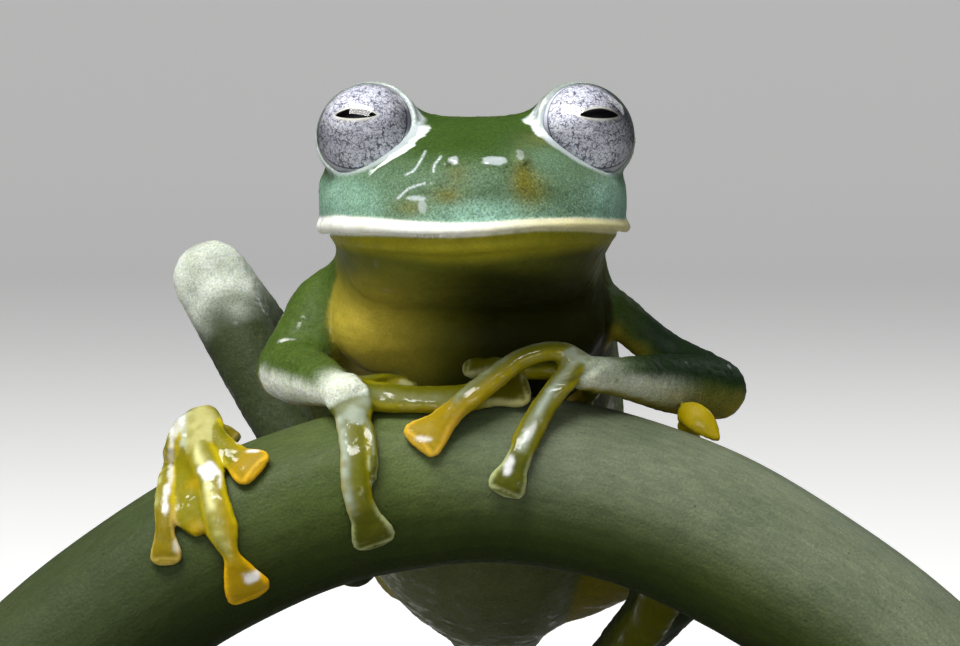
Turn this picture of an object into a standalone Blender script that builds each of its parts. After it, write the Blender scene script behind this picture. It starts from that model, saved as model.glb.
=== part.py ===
"""Glass frog gripping an arched plant stem, life size, on a plain display stand.

The frog faces -Y with its right side at -X, and its body hangs down behind the stem. Places and
sizes are millimetres measured from the stem's apex plane (the stem runs along X at y = 0), and
every object is parented to one empty that sets the stem back over the middle of the base.
"""

import math

import bmesh
import bpy
import numpy as np

MM = 0.001
GAP = 0.3
PERCH_SHIFT_Y = -7.0

# Plant stem: a parabola in the XZ plane
STEM_RADIUS = 3.0
STEM_APEX_Z = 16.06
STEM_BEND = 0.029
STEM_HALF_SPAN = 17.0

# Display stand
BASE_SIZE = (44.0, 34.0, 3.0)
BASE_CORNER = 4.0
ROD_RADIUS = 1.0
ROD_OFFSET = 13.5

# Head, in its own straight frame; it is turned a little to the frog's left
HEAD_CENTRE_X = -0.15
HEAD_YAW = 3.0
HEAD_WIDEST_Y = 2.6
MOUTH_Z = 24.82
LIP_HALF_WIDTH = 5.55
SNOUT_Y = -5.45
CROWN_Z = 28.9
NECK_Y = 3.3
NECK_Z = 25.2
NECK_TILT = 18.0

# Eyes
EYE_RADIUS = 1.9
EYE_CENTRE = (3.75, 0.1, 28.22)
EYE_OUTWARD = 21.5
EYE_UPWARD = 21.0
LIMBUS_DEPTH = 0.76
LID_SKIN = 0.06
LID_SPAN = 240.0
LID_MIDDLE = 300.0

# Nostrils
NOSTRIL = (1.16, -4.2, 27.28)
NOSTRIL_SHIFT = 0.2
NOSTRIL_RADIUS = 0.42
NOSTRIL_HOLE = 0.15

# Joints of the limbs: frog's right is -X
SHOULDER = {"right": (-5.2, 5.6, 22.0), "left": (4.2, 5.2, 22.2)}
ELBOW = {"right": (-7.0, 4.2, 19.75), "left": (8.5, 3.5, 19.1)}
WRIST = {"right": (-4.8, -1.2, 19.25), "left": (3.95, -1.3, 19.9)}
HIP = {"right": (-2.4, 17.2, 11.8), "left": (3.4, 17.0, 11.2)}
KNEE = {"right": (-10.2, 13.8, 22.8), "left": (10.0, 5.6, 14.7)}
HEEL = {"right": (-4.7, 8.9, 12.3), "left": (3.4, 15.4, 6.2)}
INSTEP = {"right": (-9.2, 4.8, 14.8), "left": (6.2, 9.0, 10.0)}

SKIN_GREEN = (0.24, 0.42, 0.12)
THROAT_OLIVE = (0.42, 0.42, 0.10)
TOE_YELLOW = (0.75, 0.62, 0.10)
IRIS_SILVER = (0.62, 0.62, 0.68)
STEM_GREEN = (0.30, 0.36, 0.20)
STAND_GREY = (0.20, 0.20, 0.20)


def clear_scene():
    for obj in list(bpy.data.objects):
        bpy.data.objects.remove(obj, do_unlink=True)


def new_collection(name):
    collection = bpy.data.collections.new(name)
    bpy.context.scene.collection.children.link(collection)
    return collection


def new_material(name, colour, roughness, metallic=0.0):
    material = bpy.data.materials.new(name)
    material.use_nodes = True
    shader = material.node_tree.nodes["Principled BSDF"]
    shader.inputs["Base Color"].default_value = (*colour, 1.0)
    shader.inputs["Roughness"].default_value = roughness
    shader.inputs["Metallic"].default_value = metallic
    return material


def unit(vector):
    vector = np.asarray(vector, float)
    return vector / np.linalg.norm(vector)


def stem_height(x):
    return STEM_APEX_Z - STEM_BEND * x * x


def on_stem(x, z, lift, side=-1.0):
    """The point at (x, z) of the front view that lies lift above the stem's skin, in front (-1) or behind (1)."""
    slope = math.atan(2.0 * STEM_BEND * x)
    across = (z - stem_height(x)) * math.cos(slope)
    reach = (STEM_RADIUS + lift) ** 2 - across**2
    return (x, side * math.sqrt(max(reach, 0.0)), z)


def away_from_stem(point):
    """Unit normal of the stem's skin nearest to a point."""
    slope = math.atan(2.0 * STEM_BEND * point[0])
    rise = (point[2] - stem_height(point[0])) * math.cos(slope)
    return unit((rise * math.sin(slope), point[1], rise * math.cos(slope)))


def smooth_rows(rows, steps):
    """Catmull-Rom curve through rows of numbers, each span in the given number of steps."""
    rows = np.asarray(rows, float)
    padded = np.vstack([2 * rows[0] - rows[1], rows, 2 * rows[-1] - rows[-2]])
    curve = []
    for a, b, c, d in zip(padded, padded[1:], padded[2:], padded[3:]):
        for t in np.arange(steps) / steps:
            curve.append(
                0.5 * (2 * b + (c - a) * t + (2 * a - 5 * b + 4 * c - d) * t**2 + (3 * b - a - 3 * c + d) * t**3)
            )
    curve.append(rows[-1])
    return np.array(curve)


def object_from_faces(name, points, faces, collection):
    mesh = bpy.data.meshes.new(name)
    mesh.from_pydata([tuple(p * MM for p in point) for point in points], [], faces)
    work = bmesh.new()
    work.from_mesh(mesh)
    bmesh.ops.recalc_face_normals(work, faces=work.faces)
    work.to_mesh(mesh)
    work.free()
    obj = bpy.data.objects.new(name, mesh)
    collection.objects.link(obj)
    return obj


def loft(name, rings, collection):
    """A closed skin over rings of equal count, with a point in the middle of each end."""
    count = len(rings[0])
    points = [point for ring in rings for point in ring]
    faces = []
    for start in range(0, (len(rings) - 1) * count, count):
        for i in range(count):
            j = (i + 1) % count
            faces.append((start + i, start + j, start + count + j, start + count + i))
    last = (len(rings) - 1) * count
    for first, ring in ((0, rings[0]), (last, rings[-1])):
        points.append(np.mean(ring, axis=0))
        middle = len(points) - 1
        for i in range(count):
            faces.append((middle, first + i, first + (i + 1) % count))
    return object_from_faces(name, points, faces, collection)


def limb(name, stations, collection, up=(0.0, 0.0, 1.0), sides=12, steps=4, grow=0.0, power=2.0):
    """Fleshy limb through stations of (x, y, z, half width, half thickness above, half thickness below).

    up is the direction of the thickness, or a function that gives it at a point.
    """
    rows = smooth_rows(stations, steps)
    centres = rows[:, :3]
    sizes = rows[:, 3:] + grow
    tangents = np.gradient(centres, axis=0)
    rings = []
    cap_steps = 2 if sides < 12 else 3
    last = len(centres) - 1
    for index, (centre, size) in enumerate(zip(centres, sizes)):
        tangent = unit(tangents[index])
        rough_up = up(centre) if callable(up) else np.asarray(up, float)
        side = unit(np.cross(tangent, rough_up))
        true_up = unit(np.cross(side, tangent))
        ring_places = [(1.0, 0.0)]
        if index in (0, last):
            reach = min(size) * (-1.0 if index == 0 else 1.0)
            arcs = [math.radians(90.0 * k / cap_steps) for k in range(cap_steps)]
            ring_places = [(math.cos(arc), math.sin(arc) * reach) for arc in arcs]
            if index == 0:
                ring_places.reverse()
        for scale, offset in ring_places:
            ring = []
            for k in range(sides):
                turn = 2.0 * math.pi * k / sides
                across = math.copysign(abs(math.cos(turn)) ** (2.0 / power), math.cos(turn))
                rise = math.copysign(abs(math.sin(turn)) ** (2.0 / power), math.sin(turn))
                height = size[1] if rise > 0 else size[2]
                ring.append(
                    centre + tangent * offset + side * (across * size[0] * scale) + true_up * (rise * height * scale)
                )
            rings.append(ring)
    return loft(name, rings, collection)


def round_rows(*rows):
    """Stations given as (x, y, z, half width, half thickness), with the thickness alike above and below."""
    return [(*row, row[4]) for row in rows]


def keep_largest(work):
    """Deletes every loose piece of a bmesh but the one with the most volume."""
    left = set(work.verts)
    pieces = []
    while left:
        stack = [left.pop()]
        piece = set(stack)
        while stack:
            for edge in stack.pop().link_edges:
                for vert in edge.verts:
                    if vert in left:
                        left.discard(vert)
                        piece.add(vert)
                        stack.append(vert)
        pieces.append(piece)

    def volume(piece):
        total = 0.0
        for face in {face for vert in piece for face in vert.link_faces}:
            corners = [vert.co for vert in face.verts]
            for b, c in zip(corners[1:], corners[2:]):
                total += corners[0].dot(b.cross(c))
        return total

    pieces.sort(key=volume, reverse=True)
    for piece in pieces[1:]:
        bmesh.ops.delete(work, geom=list(piece), context="VERTS")


def is_closed(mesh):
    work = bmesh.new()
    work.from_mesh(mesh)
    closed = all(edge.is_manifold for edge in work.edges)
    work.free()
    return closed


def apply_boolean(obj, others, operation):
    """Joins or cuts one mesh with closed meshes in one step, then drops them and any loose scrap."""
    helpers = new_collection("cutters")
    helpers.hide_render = True
    for other in others:
        helpers.objects.link(other)
    for solver in ("EXACT", "MANIFOLD"):
        modifier = obj.modifiers.new(operation.lower(), "BOOLEAN")
        modifier.operation = operation
        modifier.solver = solver
        modifier.operand_type = "COLLECTION"
        modifier.collection = helpers
        graph = bpy.context.evaluated_depsgraph_get()
        result = bpy.data.meshes.new_from_object(obj.evaluated_get(graph))
        obj.modifiers.clear()
        if is_closed(result):
            break
    for other in others:
        bpy.data.objects.remove(other, do_unlink=True)
    bpy.data.collections.remove(helpers)
    obj.data = result
    work = bmesh.new()
    work.from_mesh(obj.data)
    keep_largest(work)
    work.to_mesh(obj.data)
    work.free()
    return obj


def slice_off(obj, point, normal):
    """Cuts a closed mesh by a plane and keeps what lies behind the plane's normal, with a flat face."""
    work = bmesh.new()
    work.from_mesh(obj.data)
    bmesh.ops.bisect_plane(
        work,
        geom=work.verts[:] + work.edges[:] + work.faces[:],
        plane_co=[p * MM for p in point],
        plane_no=list(normal),
        clear_outer=True,
    )
    rim = [edge for edge in work.edges if edge.is_boundary]
    bmesh.ops.holes_fill(work, edges=rim)
    bmesh.ops.triangulate(work, faces=[face for face in work.faces if len(face.verts) > 4])
    keep_largest(work)
    bmesh.ops.recalc_face_normals(work, faces=work.faces)
    work.to_mesh(obj.data)
    work.free()


def meet_at_joint(near, far, joint, near_end, far_end):
    """Parts two limbs at a joint by the plane that halves the angle between them."""
    joint = np.asarray(joint, float)
    normal = unit(unit(np.asarray(near_end) - joint) - unit(np.asarray(far_end) - joint))
    slice_off(near, joint + normal * GAP / 2.0, -normal)
    slice_off(far, joint - normal * GAP / 2.0, normal)


def sphere(name, centre, radius, collection, segments=24, rings=14):
    work = bmesh.new()
    bmesh.ops.create_uvsphere(work, u_segments=segments, v_segments=rings, radius=radius * MM)
    bmesh.ops.translate(work, verts=work.verts, vec=[c * MM for c in centre])
    mesh = bpy.data.meshes.new(name)
    work.to_mesh(mesh)
    work.free()
    obj = bpy.data.objects.new(name, mesh)
    collection.objects.link(obj)
    return obj


def gaze(side):
    """Unit vector along which an eye looks: side is -1 for the frog's right eye, 1 for its left."""
    out = math.radians(EYE_OUTWARD)
    rise = math.radians(EYE_UPWARD)
    return np.array([side * math.sin(out) * math.cos(rise), -math.cos(out) * math.cos(rise), math.sin(rise)])


def eye_centre(side):
    return np.array([side * EYE_CENTRE[0], EYE_CENTRE[1], EYE_CENTRE[2]])


def nape_y(z):
    """How far back the head reaches at a height: the nape slopes down into the torso."""
    return float(np.interp(z, (24.0, 26.0, 28.0, CROWN_Z), (8.0, 7.0, 5.0, 3.7)))


def head_outline(half_width, front_y, back_y, fullness, count=40):
    """Plan outline of the head at one height: a full curve round the snout, narrowing behind into the neck."""
    ring = []
    for k in range(count):
        turn = 2.0 * math.pi * k / count
        c, s = math.cos(turn), math.sin(turn)
        power = fullness if s < 0 else 2.2
        x = math.copysign(abs(c) ** (2.0 / power), c) * half_width
        depth = HEAD_WIDEST_Y - front_y if s < 0 else back_y - HEAD_WIDEST_Y
        y = HEAD_WIDEST_Y + math.copysign(abs(s) ** (2.0 / power), s) * depth
        ring.append((x, y))
    return ring


def build_head(collection):
    """Head with jaw, mouth line, lips, nostrils, eye seats and lids."""
    lip = LIP_HALF_WIDTH
    levels = [
        (21.9, 2.6, 1.6, 2.0),
        (22.3, 3.8, -0.4, 2.0),
        (22.9, 4.4, -2.3, 2.0),
        (23.5, 4.5, -3.7, 2.1),
        (24.0, 4.6, -4.45, 2.2),
        (24.45, 4.8, -4.85, 2.25),
        (MOUTH_Z - 0.12, 4.95, -5.0, 2.3),
        (MOUTH_Z - 0.02, 4.85, -4.82, 2.3),
        (MOUTH_Z + 0.06, 5.0, -4.95, 2.3),
        (MOUTH_Z + 0.14, lip - 0.06, SNOUT_Y + 0.08, 2.35),
        (25.15, lip, SNOUT_Y, 2.35),
        (25.38, lip - 0.1, SNOUT_Y + 0.04, 2.35),
        (25.55, 5.36, -5.25, 2.35),
        (26.0, 5.36, -5.15, 2.3),
        (26.6, 5.3, -5.0, 2.15),
        (27.1, 5.1, -4.75, 2.0),
        (27.6, 4.7, -4.2, 1.9),
        (28.1, 4.0, -3.1, 1.85),
        (28.5, 3.3, -1.7, 1.85),
        (28.78, 2.5, -0.2, 1.9),
        (CROWN_Z, 1.5, 1.0, 2.0),
    ]
    rings = []
    for z, half_width, front_y, fullness in levels:
        outline = head_outline(half_width, front_y, nape_y(z), fullness)
        rings.append([np.array([x, y, z]) for x, y in outline])
    head = loft("head", rings, collection)
    added = []
    for side in (-1.0, 1.0):
        centre = eye_centre(side)
        seat = sphere("seat", centre, EYE_RADIUS + LID_SKIN, collection)
        slice_off(seat, centre + gaze(side) * (LIMBUS_DEPTH - GAP), gaze(side))
        added.append(seat)
        added.append(build_lid(side, collection))
        brow = round_rows(
            (side * 3.55, 0.5, 28.15, 1.85, 1.85),
            (side * 3.3, 2.3, 27.8, 1.7, 1.6),
            (side * 2.9, 4.4, 26.9, 1.3, 1.2),
        )
        brow_mass = limb("brow", brow, collection, sides=16, steps=3)
        slice_off(brow_mass, centre + gaze(side) * (LIMBUS_DEPTH - 1.3 * GAP), gaze(side))
        added.append(brow_mass)
        across = side * NOSTRIL[0] + NOSTRIL_SHIFT
        bump = sphere("bump", (across, NOSTRIL[1], NOSTRIL[2]), NOSTRIL_RADIUS, collection, 14, 8)
        added.append(bump)
    apply_boolean(head, added, "UNION")
    holes = []
    for side in (-1.0, 1.0):
        centre = eye_centre(side)
        room = sphere("room", centre, EYE_RADIUS + GAP * 0.8, collection)
        slice_off(room, centre + gaze(side) * (LIMBUS_DEPTH - 0.85 * GAP), -gaze(side))
        holes.append(room)
        across = side * (NOSTRIL[0] + 0.22) + NOSTRIL_SHIFT
        opening = (across, NOSTRIL[1] - 0.36, NOSTRIL[2] + 0.02)
        holes.append(sphere("hole", opening, NOSTRIL_HOLE, collection, 10, 6))
    apply_boolean(head, holes, "DIFFERENCE")
    return head


def build_lid(side, collection):
    """Lid margin: a soft ridge round the lower and inner rim of the eye, fading out at both ends."""
    centre = eye_centre(side)
    axis = gaze(side)
    inner = unit(np.cross(axis, (0.0, 0.0, 1.0)) * side)
    lift = unit(np.cross(axis, inner))
    if lift[2] < 0:
        lift = -lift
    if inner[0] * side > 0:
        inner = -inner
    stations = []
    pieces = 12
    for k in range(pieces + 1):
        share = k / pieces
        turn = math.radians(LID_MIDDLE - LID_SPAN / 2.0 + LID_SPAN * share)
        swell = math.sin(math.pi * share)
        place = centre + axis * (LIMBUS_DEPTH - 0.42) + (inner * math.cos(turn) + lift * math.sin(turn)) * 1.93
        half = 0.12 + 0.2 * swell
        stations.append((*place, half, half, half))
    return limb("lid", stations, collection, up=tuple(axis), sides=8, steps=1)


def build_eye(name, side, collection):
    """The part of the eyeball that shows: a dome in front of its seat."""
    centre = eye_centre(side)
    eye = sphere(name, centre, EYE_RADIUS, collection, 28, 18)
    slice_off(eye, centre + gaze(side) * LIMBUS_DEPTH, -gaze(side))
    return eye


def torso_stations():
    """Stations from the neck to the vent: x, y, z, half width, height to the back, depth to the belly."""
    return [
        (-0.35, 1.4, 26.0, 4.0, 2.0, 2.6),
        (-0.35, 3.4, 25.0, 4.6, 3.1, 3.6),
        (-0.3, 5.4, 23.5, 4.85, 3.6, 5.2),
        (-0.1, 8.0, 20.9, 5.1, 3.8, 5.5),
        (0.1, 11.2, 17.6, 5.3, 3.6, 5.0),
        (0.3, 14.2, 14.2, 5.0, 3.2, 4.4),
        (0.5, 16.8, 11.4, 3.9, 2.6, 3.1),
        (0.6, 18.8, 9.3, 2.0, 1.4, 1.7),
    ]


def build_torso(name, collection, grow=0.0):
    """Trunk with the fold of the chest that bulges over the stem."""
    torso = limb(name, torso_stations(), collection, sides=24, steps=3, grow=grow, power=2.2)
    fold = round_rows(
        (-3.4, 3.7, 21.55, 1.9, 1.85),
        (0.0, 3.5, 21.3, 2.2, 2.0),
        (2.8, 3.9, 21.6, 1.8, 1.8),
    )
    chest = limb("chest", fold, collection, sides=16, steps=3, grow=grow)
    return apply_boolean(torso, [chest], "UNION")


def arm_stations(side):
    """Upper arm and forearm stations."""
    shoulder, elbow, wrist = SHOULDER[side], ELBOW[side], WRIST[side]
    shoulder, elbow, wrist = (np.array(p) for p in (shoulder, elbow, wrist))
    inside = shoulder + (np.array([0.0, 6.4, 22.4]) - shoulder) * 0.45
    fat = 0.85 if side == "left" else 1.5
    upper = [
        (*inside, fat * 1.1, fat * 1.1),
        (*shoulder, fat, fat),
        (*(shoulder * 0.45 + elbow * 0.55), fat * 0.88, fat * 0.88),
        (*elbow, 1.12, 1.12),
    ]
    belly = elbow * 0.62 + wrist * 0.38
    slim = elbow * 0.2 + wrist * 0.8
    fore = [
        (*elbow, 1.12, 1.12),
        (*belly, 1.1, 1.02),
        (*slim, 0.8, 0.68),
        (*(wrist * 1.12 - elbow * 0.12), 0.78, 0.6),
    ]
    return round_rows(*upper), round_rows(*fore)


def digit(name, places, widths, thickness, collection, steps=2, sides=8):
    """A finger or toe over the stem, from its root to its disc: widths are half widths, one for each place."""
    rows = [(*place, width, thickness, thickness) for place, width in zip(places, widths)]
    before, end = np.array(places[-2]), np.array(places[-1])
    tip = end + unit(end - before) * widths[-1] * 0.45
    rows.append((*tip, widths[-1] * 0.66, thickness * 0.8, thickness * 0.8))
    return limb(name, rows, collection, up=away_from_stem, sides=sides, steps=steps, power=2.3)


def finger_widths(finger, disc, count):
    """Half widths along a digit: even to the neck of the disc, then flared to its blunt end."""
    return [finger * 1.08] + [finger] * (count - 3) + [disc * 0.86, disc]


def build_hand(name, side, collection):
    """Palm with four fingers over the stem, each ending in a flat disc."""
    wrist = np.array(WRIST[side])
    pad = GAP + 0.33
    if side == "right":
        palm = [
            (-5.1, -0.2, 19.4, 0.78, 0.6),
            (*wrist, 0.78, 0.6),
            (-4.3, -1.9, 18.95, 0.85, 0.45),
            (-4.15, -2.35, 18.5, 0.7, 0.4),
        ]
        digits = [
            ([wrist, on_stem(-4.48, 18.1, pad), on_stem(-4.37, 17.1, pad), on_stem(-4.3, 16.1, pad),
              on_stem(-4.0, 14.95, pad), on_stem(-3.72, 14.25, pad)], 0.54, 0.82),
            ([wrist, on_stem(-3.95, 18.4, pad), on_stem(-3.65, 17.5, pad), on_stem(-3.5, 16.7, pad),
              on_stem(-3.42, 16.1, pad)], 0.34, 0.46),
            ([wrist, on_stem(-3.5, 18.98, pad), on_stem(-2.0, 18.98, pad), on_stem(-0.6, 18.98, pad),
              on_stem(0.4, 19.0, pad), on_stem(1.2, 19.02, pad)], 0.5, 0.68),
            ([wrist, (-4.0, -0.3, 19.62), (-3.2, -0.05, 19.6), (-2.7, 0.0, 19.6), (-2.3, 0.0, 19.6)], 0.36, 0.5),
        ]
    else:
        palm = [
            (4.7, -0.6, 19.75, 0.7, 0.6),
            (*wrist, 0.72, 0.62),
            (3.35, -1.7, 20.3, 0.8, 0.5),
            (2.9, -1.75, 20.55, 0.6, 0.42),
        ]
        digits = [
            ([wrist, (3.1, -1.65, 20.75), (2.45, -1.8, 20.95), (1.7, -2.05, 20.65), (0.5, -2.55, 19.9),
              (-0.75, -2.95, 18.9), (-1.4, -3.12, 18.25), on_stem(-1.95, 17.75, pad)], 0.46, 0.84),
            ([wrist, (3.45, -1.9, 20.1), (2.9, -2.2, 19.55), on_stem(2.25, 18.8, pad + 0.1),
              on_stem(1.65, 17.9, pad), on_stem(1.3, 17.0, pad), on_stem(0.95, 16.15, pad)], 0.46, 0.72),
            ([wrist, (3.0, -0.95, 20.4), (1.9, -0.5, 20.3), (0.8, -0.25, 20.15), (0.1, -0.15, 20.05),
              (-0.45, -0.1, 19.98)], 0.36, 0.5),
            ([wrist, (4.05, -0.3, 19.5), (3.9, 0.6, 19.3), (3.7, 1.3, 19.05), (3.5, 1.8, 18.75)], 0.38, 0.55),
        ]
    hand = limb(name, round_rows(*palm), collection, up=away_from_stem, sides=12, steps=2)
    others = []
    for places, finger, disc in digits:
        others.append(digit("digit", places, finger_widths(finger, disc, len(places)), 0.33, collection))
    return apply_boolean(hand, others, "UNION")


def leg_stations(side):
    """Thigh and shank stations."""
    hip, knee, heel = (np.array(p[side]) for p in (HIP, KNEE, HEEL))
    thigh = [
        (*hip, 1.75, 1.75),
        (*(hip * 0.65 + knee * 0.35), 1.7, 1.6),
        (*(hip * 0.25 + knee * 0.75), 1.5, 1.45),
        (*knee, 1.45, 1.45),
    ]
    shank = [
        (*knee, 1.45, 1.45),
        (*(knee * 0.68 + heel * 0.32), 1.35, 1.3),
        (*(knee * 0.25 + heel * 0.75), 1.0, 0.95),
        (*heel, 0.9, 0.85),
    ]
    return round_rows(*thigh), round_rows(*shank)


def build_foot(name, side, collection):
    """Sole with five toes gripping the stem, with webs between the longer ones."""
    instep = np.array(INSTEP[side])
    pad = GAP + 0.33
    web_lift = pad - 0.04
    if side == "right":
        ball = np.array((-10.15, 0.3, 18.0))
        sole = [
            (-8.6, 5.6, 13.9, 0.72, 0.62),
            (*instep, 0.75, 0.6),
            (-9.7, 2.9, 17.0, 0.85, 0.52),
            (*ball, 1.0, 0.5),
            (-9.98, -0.9, 17.5, 1.08, 0.42),
        ]
        digits = [
            ([ball, (-10.75, -0.9, 17.35), on_stem(-10.92, 16.55, pad), on_stem(-11.05, 15.2, pad),
              on_stem(-11.03, 14.3, pad), on_stem(-11.0, 13.65, pad)], 0.38, 0.62),
            ([ball, (-9.85, -1.3, 17.3), on_stem(-9.6, 16.4, pad), on_stem(-9.25, 15.25, pad),
              on_stem(-8.95, 14.3, pad), on_stem(-8.6, 13.3, pad), on_stem(-8.2, 12.45, pad)], 0.5, 0.86),
            ([ball, (-9.3, -1.1, 17.5), on_stem(-8.75, 17.1, pad), on_stem(-8.4, 16.9, pad),
              on_stem(-8.1, 16.72, pad)], 0.44, 0.74),
            ([ball, (-9.6, 0.1, 17.9), (-9.3, 0.0, 17.8), (-8.95, -0.1, 17.72)], 0.45, 0.52),
            ([ball, (-9.6, 1.2, 17.4), (-9.15, 1.3, 17.5), (-8.8, 1.3, 17.64)], 0.38, 0.45),
        ]
        webs = [
            [(-10.15, -1.08, 17.12, 0.66), (*on_stem(-10.22, 16.3, web_lift), 0.62),
             (*on_stem(-10.15, 15.6, web_lift), 0.62), (*on_stem(-10.1, 15.0, web_lift), 0.58),
             (*on_stem(-9.75, 14.5, web_lift), 0.3)],
        ]
    else:
        ball = np.array((7.5, 4.3, 13.3))
        sole = [
            (5.8, 9.8, 9.5, 0.72, 0.62),
            (*instep, 0.75, 0.6),
            (7.0, 6.4, 11.9, 0.95, 0.52),
            (*ball, 1.2, 0.45),
            (7.6, 3.95, 14.2, 1.1, 0.42),
        ]
        digits = [
            ([ball, on_stem(7.6, 14.9, pad, 1.0), on_stem(7.8, 16.2, pad, 1.0), (7.85, 1.55, 17.5),
              (7.82, 0.85, 18.0), (7.8, 0.25, 18.15)], 0.4, 0.6),
            ([ball, on_stem(8.4, 14.4, pad, 1.0), on_stem(9.1, 15.0, pad, 1.0), on_stem(9.5, 15.6, pad, 1.0),
              on_stem(9.8, 16.0, pad, 1.0)], 0.38, 0.6),
            ([ball, on_stem(6.9, 14.8, pad, 1.0), on_stem(6.5, 15.9, pad, 1.0), on_stem(6.3, 16.8, pad, 1.0),
              on_stem(6.2, 17.4, pad, 1.0)], 0.38, 0.6),
            ([ball, on_stem(6.4, 14.2, pad, 1.0), on_stem(5.5, 15.0, pad, 1.0), on_stem(5.0, 15.5, pad, 1.0),
              on_stem(4.7, 15.8, pad, 1.0)], 0.36, 0.55),
            ([ball, on_stem(6.5, 13.6, pad, 1.0), on_stem(5.6, 13.8, pad, 1.0), on_stem(5.1, 13.9, pad, 1.0),
              on_stem(4.8, 14.0, pad, 1.0)], 0.36, 0.5),
        ]
        webs = [
            [(7.37, 4.03, 13.85, 0.76), (*on_stem(7.2, 14.9, web_lift, 1.0), 0.66),
             (*on_stem(7.15, 15.6, web_lift, 1.0), 0.5), (*on_stem(7.1, 16.1, web_lift, 1.0), 0.25)],
        ]
    foot = limb(name, round_rows(*sole), collection, up=away_from_stem, sides=12, steps=2)
    others = []
    for places, toe, disc in digits:
        others.append(digit("digit", places, finger_widths(toe, disc, len(places)), 0.33, collection))
    for rows in webs:
        stations = [(*row, 0.26, 0.26) for row in rows]
        others.append(limb("web", stations, collection, up=away_from_stem, sides=8, steps=2))
    return apply_boolean(foot, others, "UNION")


def build_tarsus(name, side, collection):
    """The long ankle between heel and sole."""
    heel, instep = np.array(HEEL[side]), np.array(INSTEP[side])
    rows = round_rows(
        (*heel, 0.9, 0.85),
        (*(heel * 0.5 + instep * 0.5), 0.72, 0.66),
        (*instep, 0.75, 0.6),
    )
    return limb(name, rows, collection, sides=12, steps=4)


def build_stem(name, collection, grow=0.0):
    """A cut length of plant stem: a round tube along the parabola, square at its ends."""
    sides, pieces = 24, 18
    rings = []
    for k in range(pieces + 1):
        x = -STEM_HALF_SPAN + 2.0 * STEM_HALF_SPAN * k / pieces
        slope = math.atan(2.0 * STEM_BEND * x)
        normal = np.array([math.sin(slope), 0.0, math.cos(slope)])
        ring = []
        for i in range(sides):
            turn = 2.0 * math.pi * i / sides
            radius = STEM_RADIUS + grow
            middle = np.array([x, 0.0, stem_height(x)])
            ring.append(middle + (normal * math.cos(turn) + np.array([0.0, 1.0, 0.0]) * math.sin(turn)) * radius)
        rings.append(ring)
    return loft(name, rings, collection)


def build_base(name, collection):
    """Flat base with rounded corners and a small bevel."""
    bpy.ops.mesh.primitive_cube_add(size=1.0)
    base = bpy.context.object
    base.name = name
    base.data.name = name
    base.data.transform(
        [[BASE_SIZE[0] * MM, 0, 0, 0], [0, BASE_SIZE[1] * MM, 0, 0], [0, 0, BASE_SIZE[2] * MM, 0], [0, 0, 0, 1]]
    )
    for old in list(base.users_collection):
        old.objects.unlink(base)
    collection.objects.link(base)
    base.location = (0.0, -PERCH_SHIFT_Y * MM, BASE_SIZE[2] * MM / 2.0)
    work = bmesh.new()
    work.from_mesh(base.data)
    upright = [e for e in work.edges if abs(e.verts[0].co.z - e.verts[1].co.z) > 0.5 * BASE_SIZE[2] * MM]
    bmesh.ops.bevel(work, geom=upright, offset=BASE_CORNER * MM, segments=6, profile=0.5, affect="EDGES")
    rim = [e for e in work.edges if all(v.co.z > 0 for v in e.verts)]
    bmesh.ops.bevel(work, geom=rim, offset=0.4 * MM, segments=2, profile=0.5, affect="EDGES")
    work.to_mesh(base.data)
    work.free()
    return base


def build_rod(name, x, collection):
    """Short upright rod from the base to the underside of the stem."""
    foot = BASE_SIZE[2] + GAP
    top = stem_height(x)
    work = bmesh.new()
    bmesh.ops.create_cone(
        work, cap_ends=True, segments=20, radius1=ROD_RADIUS * MM, radius2=ROD_RADIUS * MM, depth=(top - foot) * MM
    )
    bmesh.ops.translate(work, verts=work.verts, vec=(x * MM, 0.0, (top + foot) / 2.0 * MM))
    mesh = bpy.data.meshes.new(name)
    work.to_mesh(mesh)
    work.free()
    rod = bpy.data.objects.new(name, mesh)
    collection.objects.link(rod)
    return apply_boolean(rod, [build_stem("cutter", collection, GAP)], "DIFFERENCE")


def turn_head(*objects):
    """Sets the head and eyes in place, with the head's small turn."""
    yaw = math.radians(HEAD_YAW)
    for obj in objects:
        obj.rotation_euler = (0.0, 0.0, yaw)
        obj.location = (HEAD_CENTRE_X * MM, 0.0, 0.0)
        bpy.context.view_layer.update()
        obj.data.transform(obj.matrix_world)
        obj.rotation_euler = (0.0, 0.0, 0.0)
        obj.location = (0.0, 0.0, 0.0)


def dress(obj, material, anchor):
    obj.data.materials.clear()
    obj.data.materials.append(material)
    obj.data.shade_smooth()
    obj.data.set_sharp_from_angle(angle=math.radians(40.0))
    obj.parent = anchor


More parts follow.
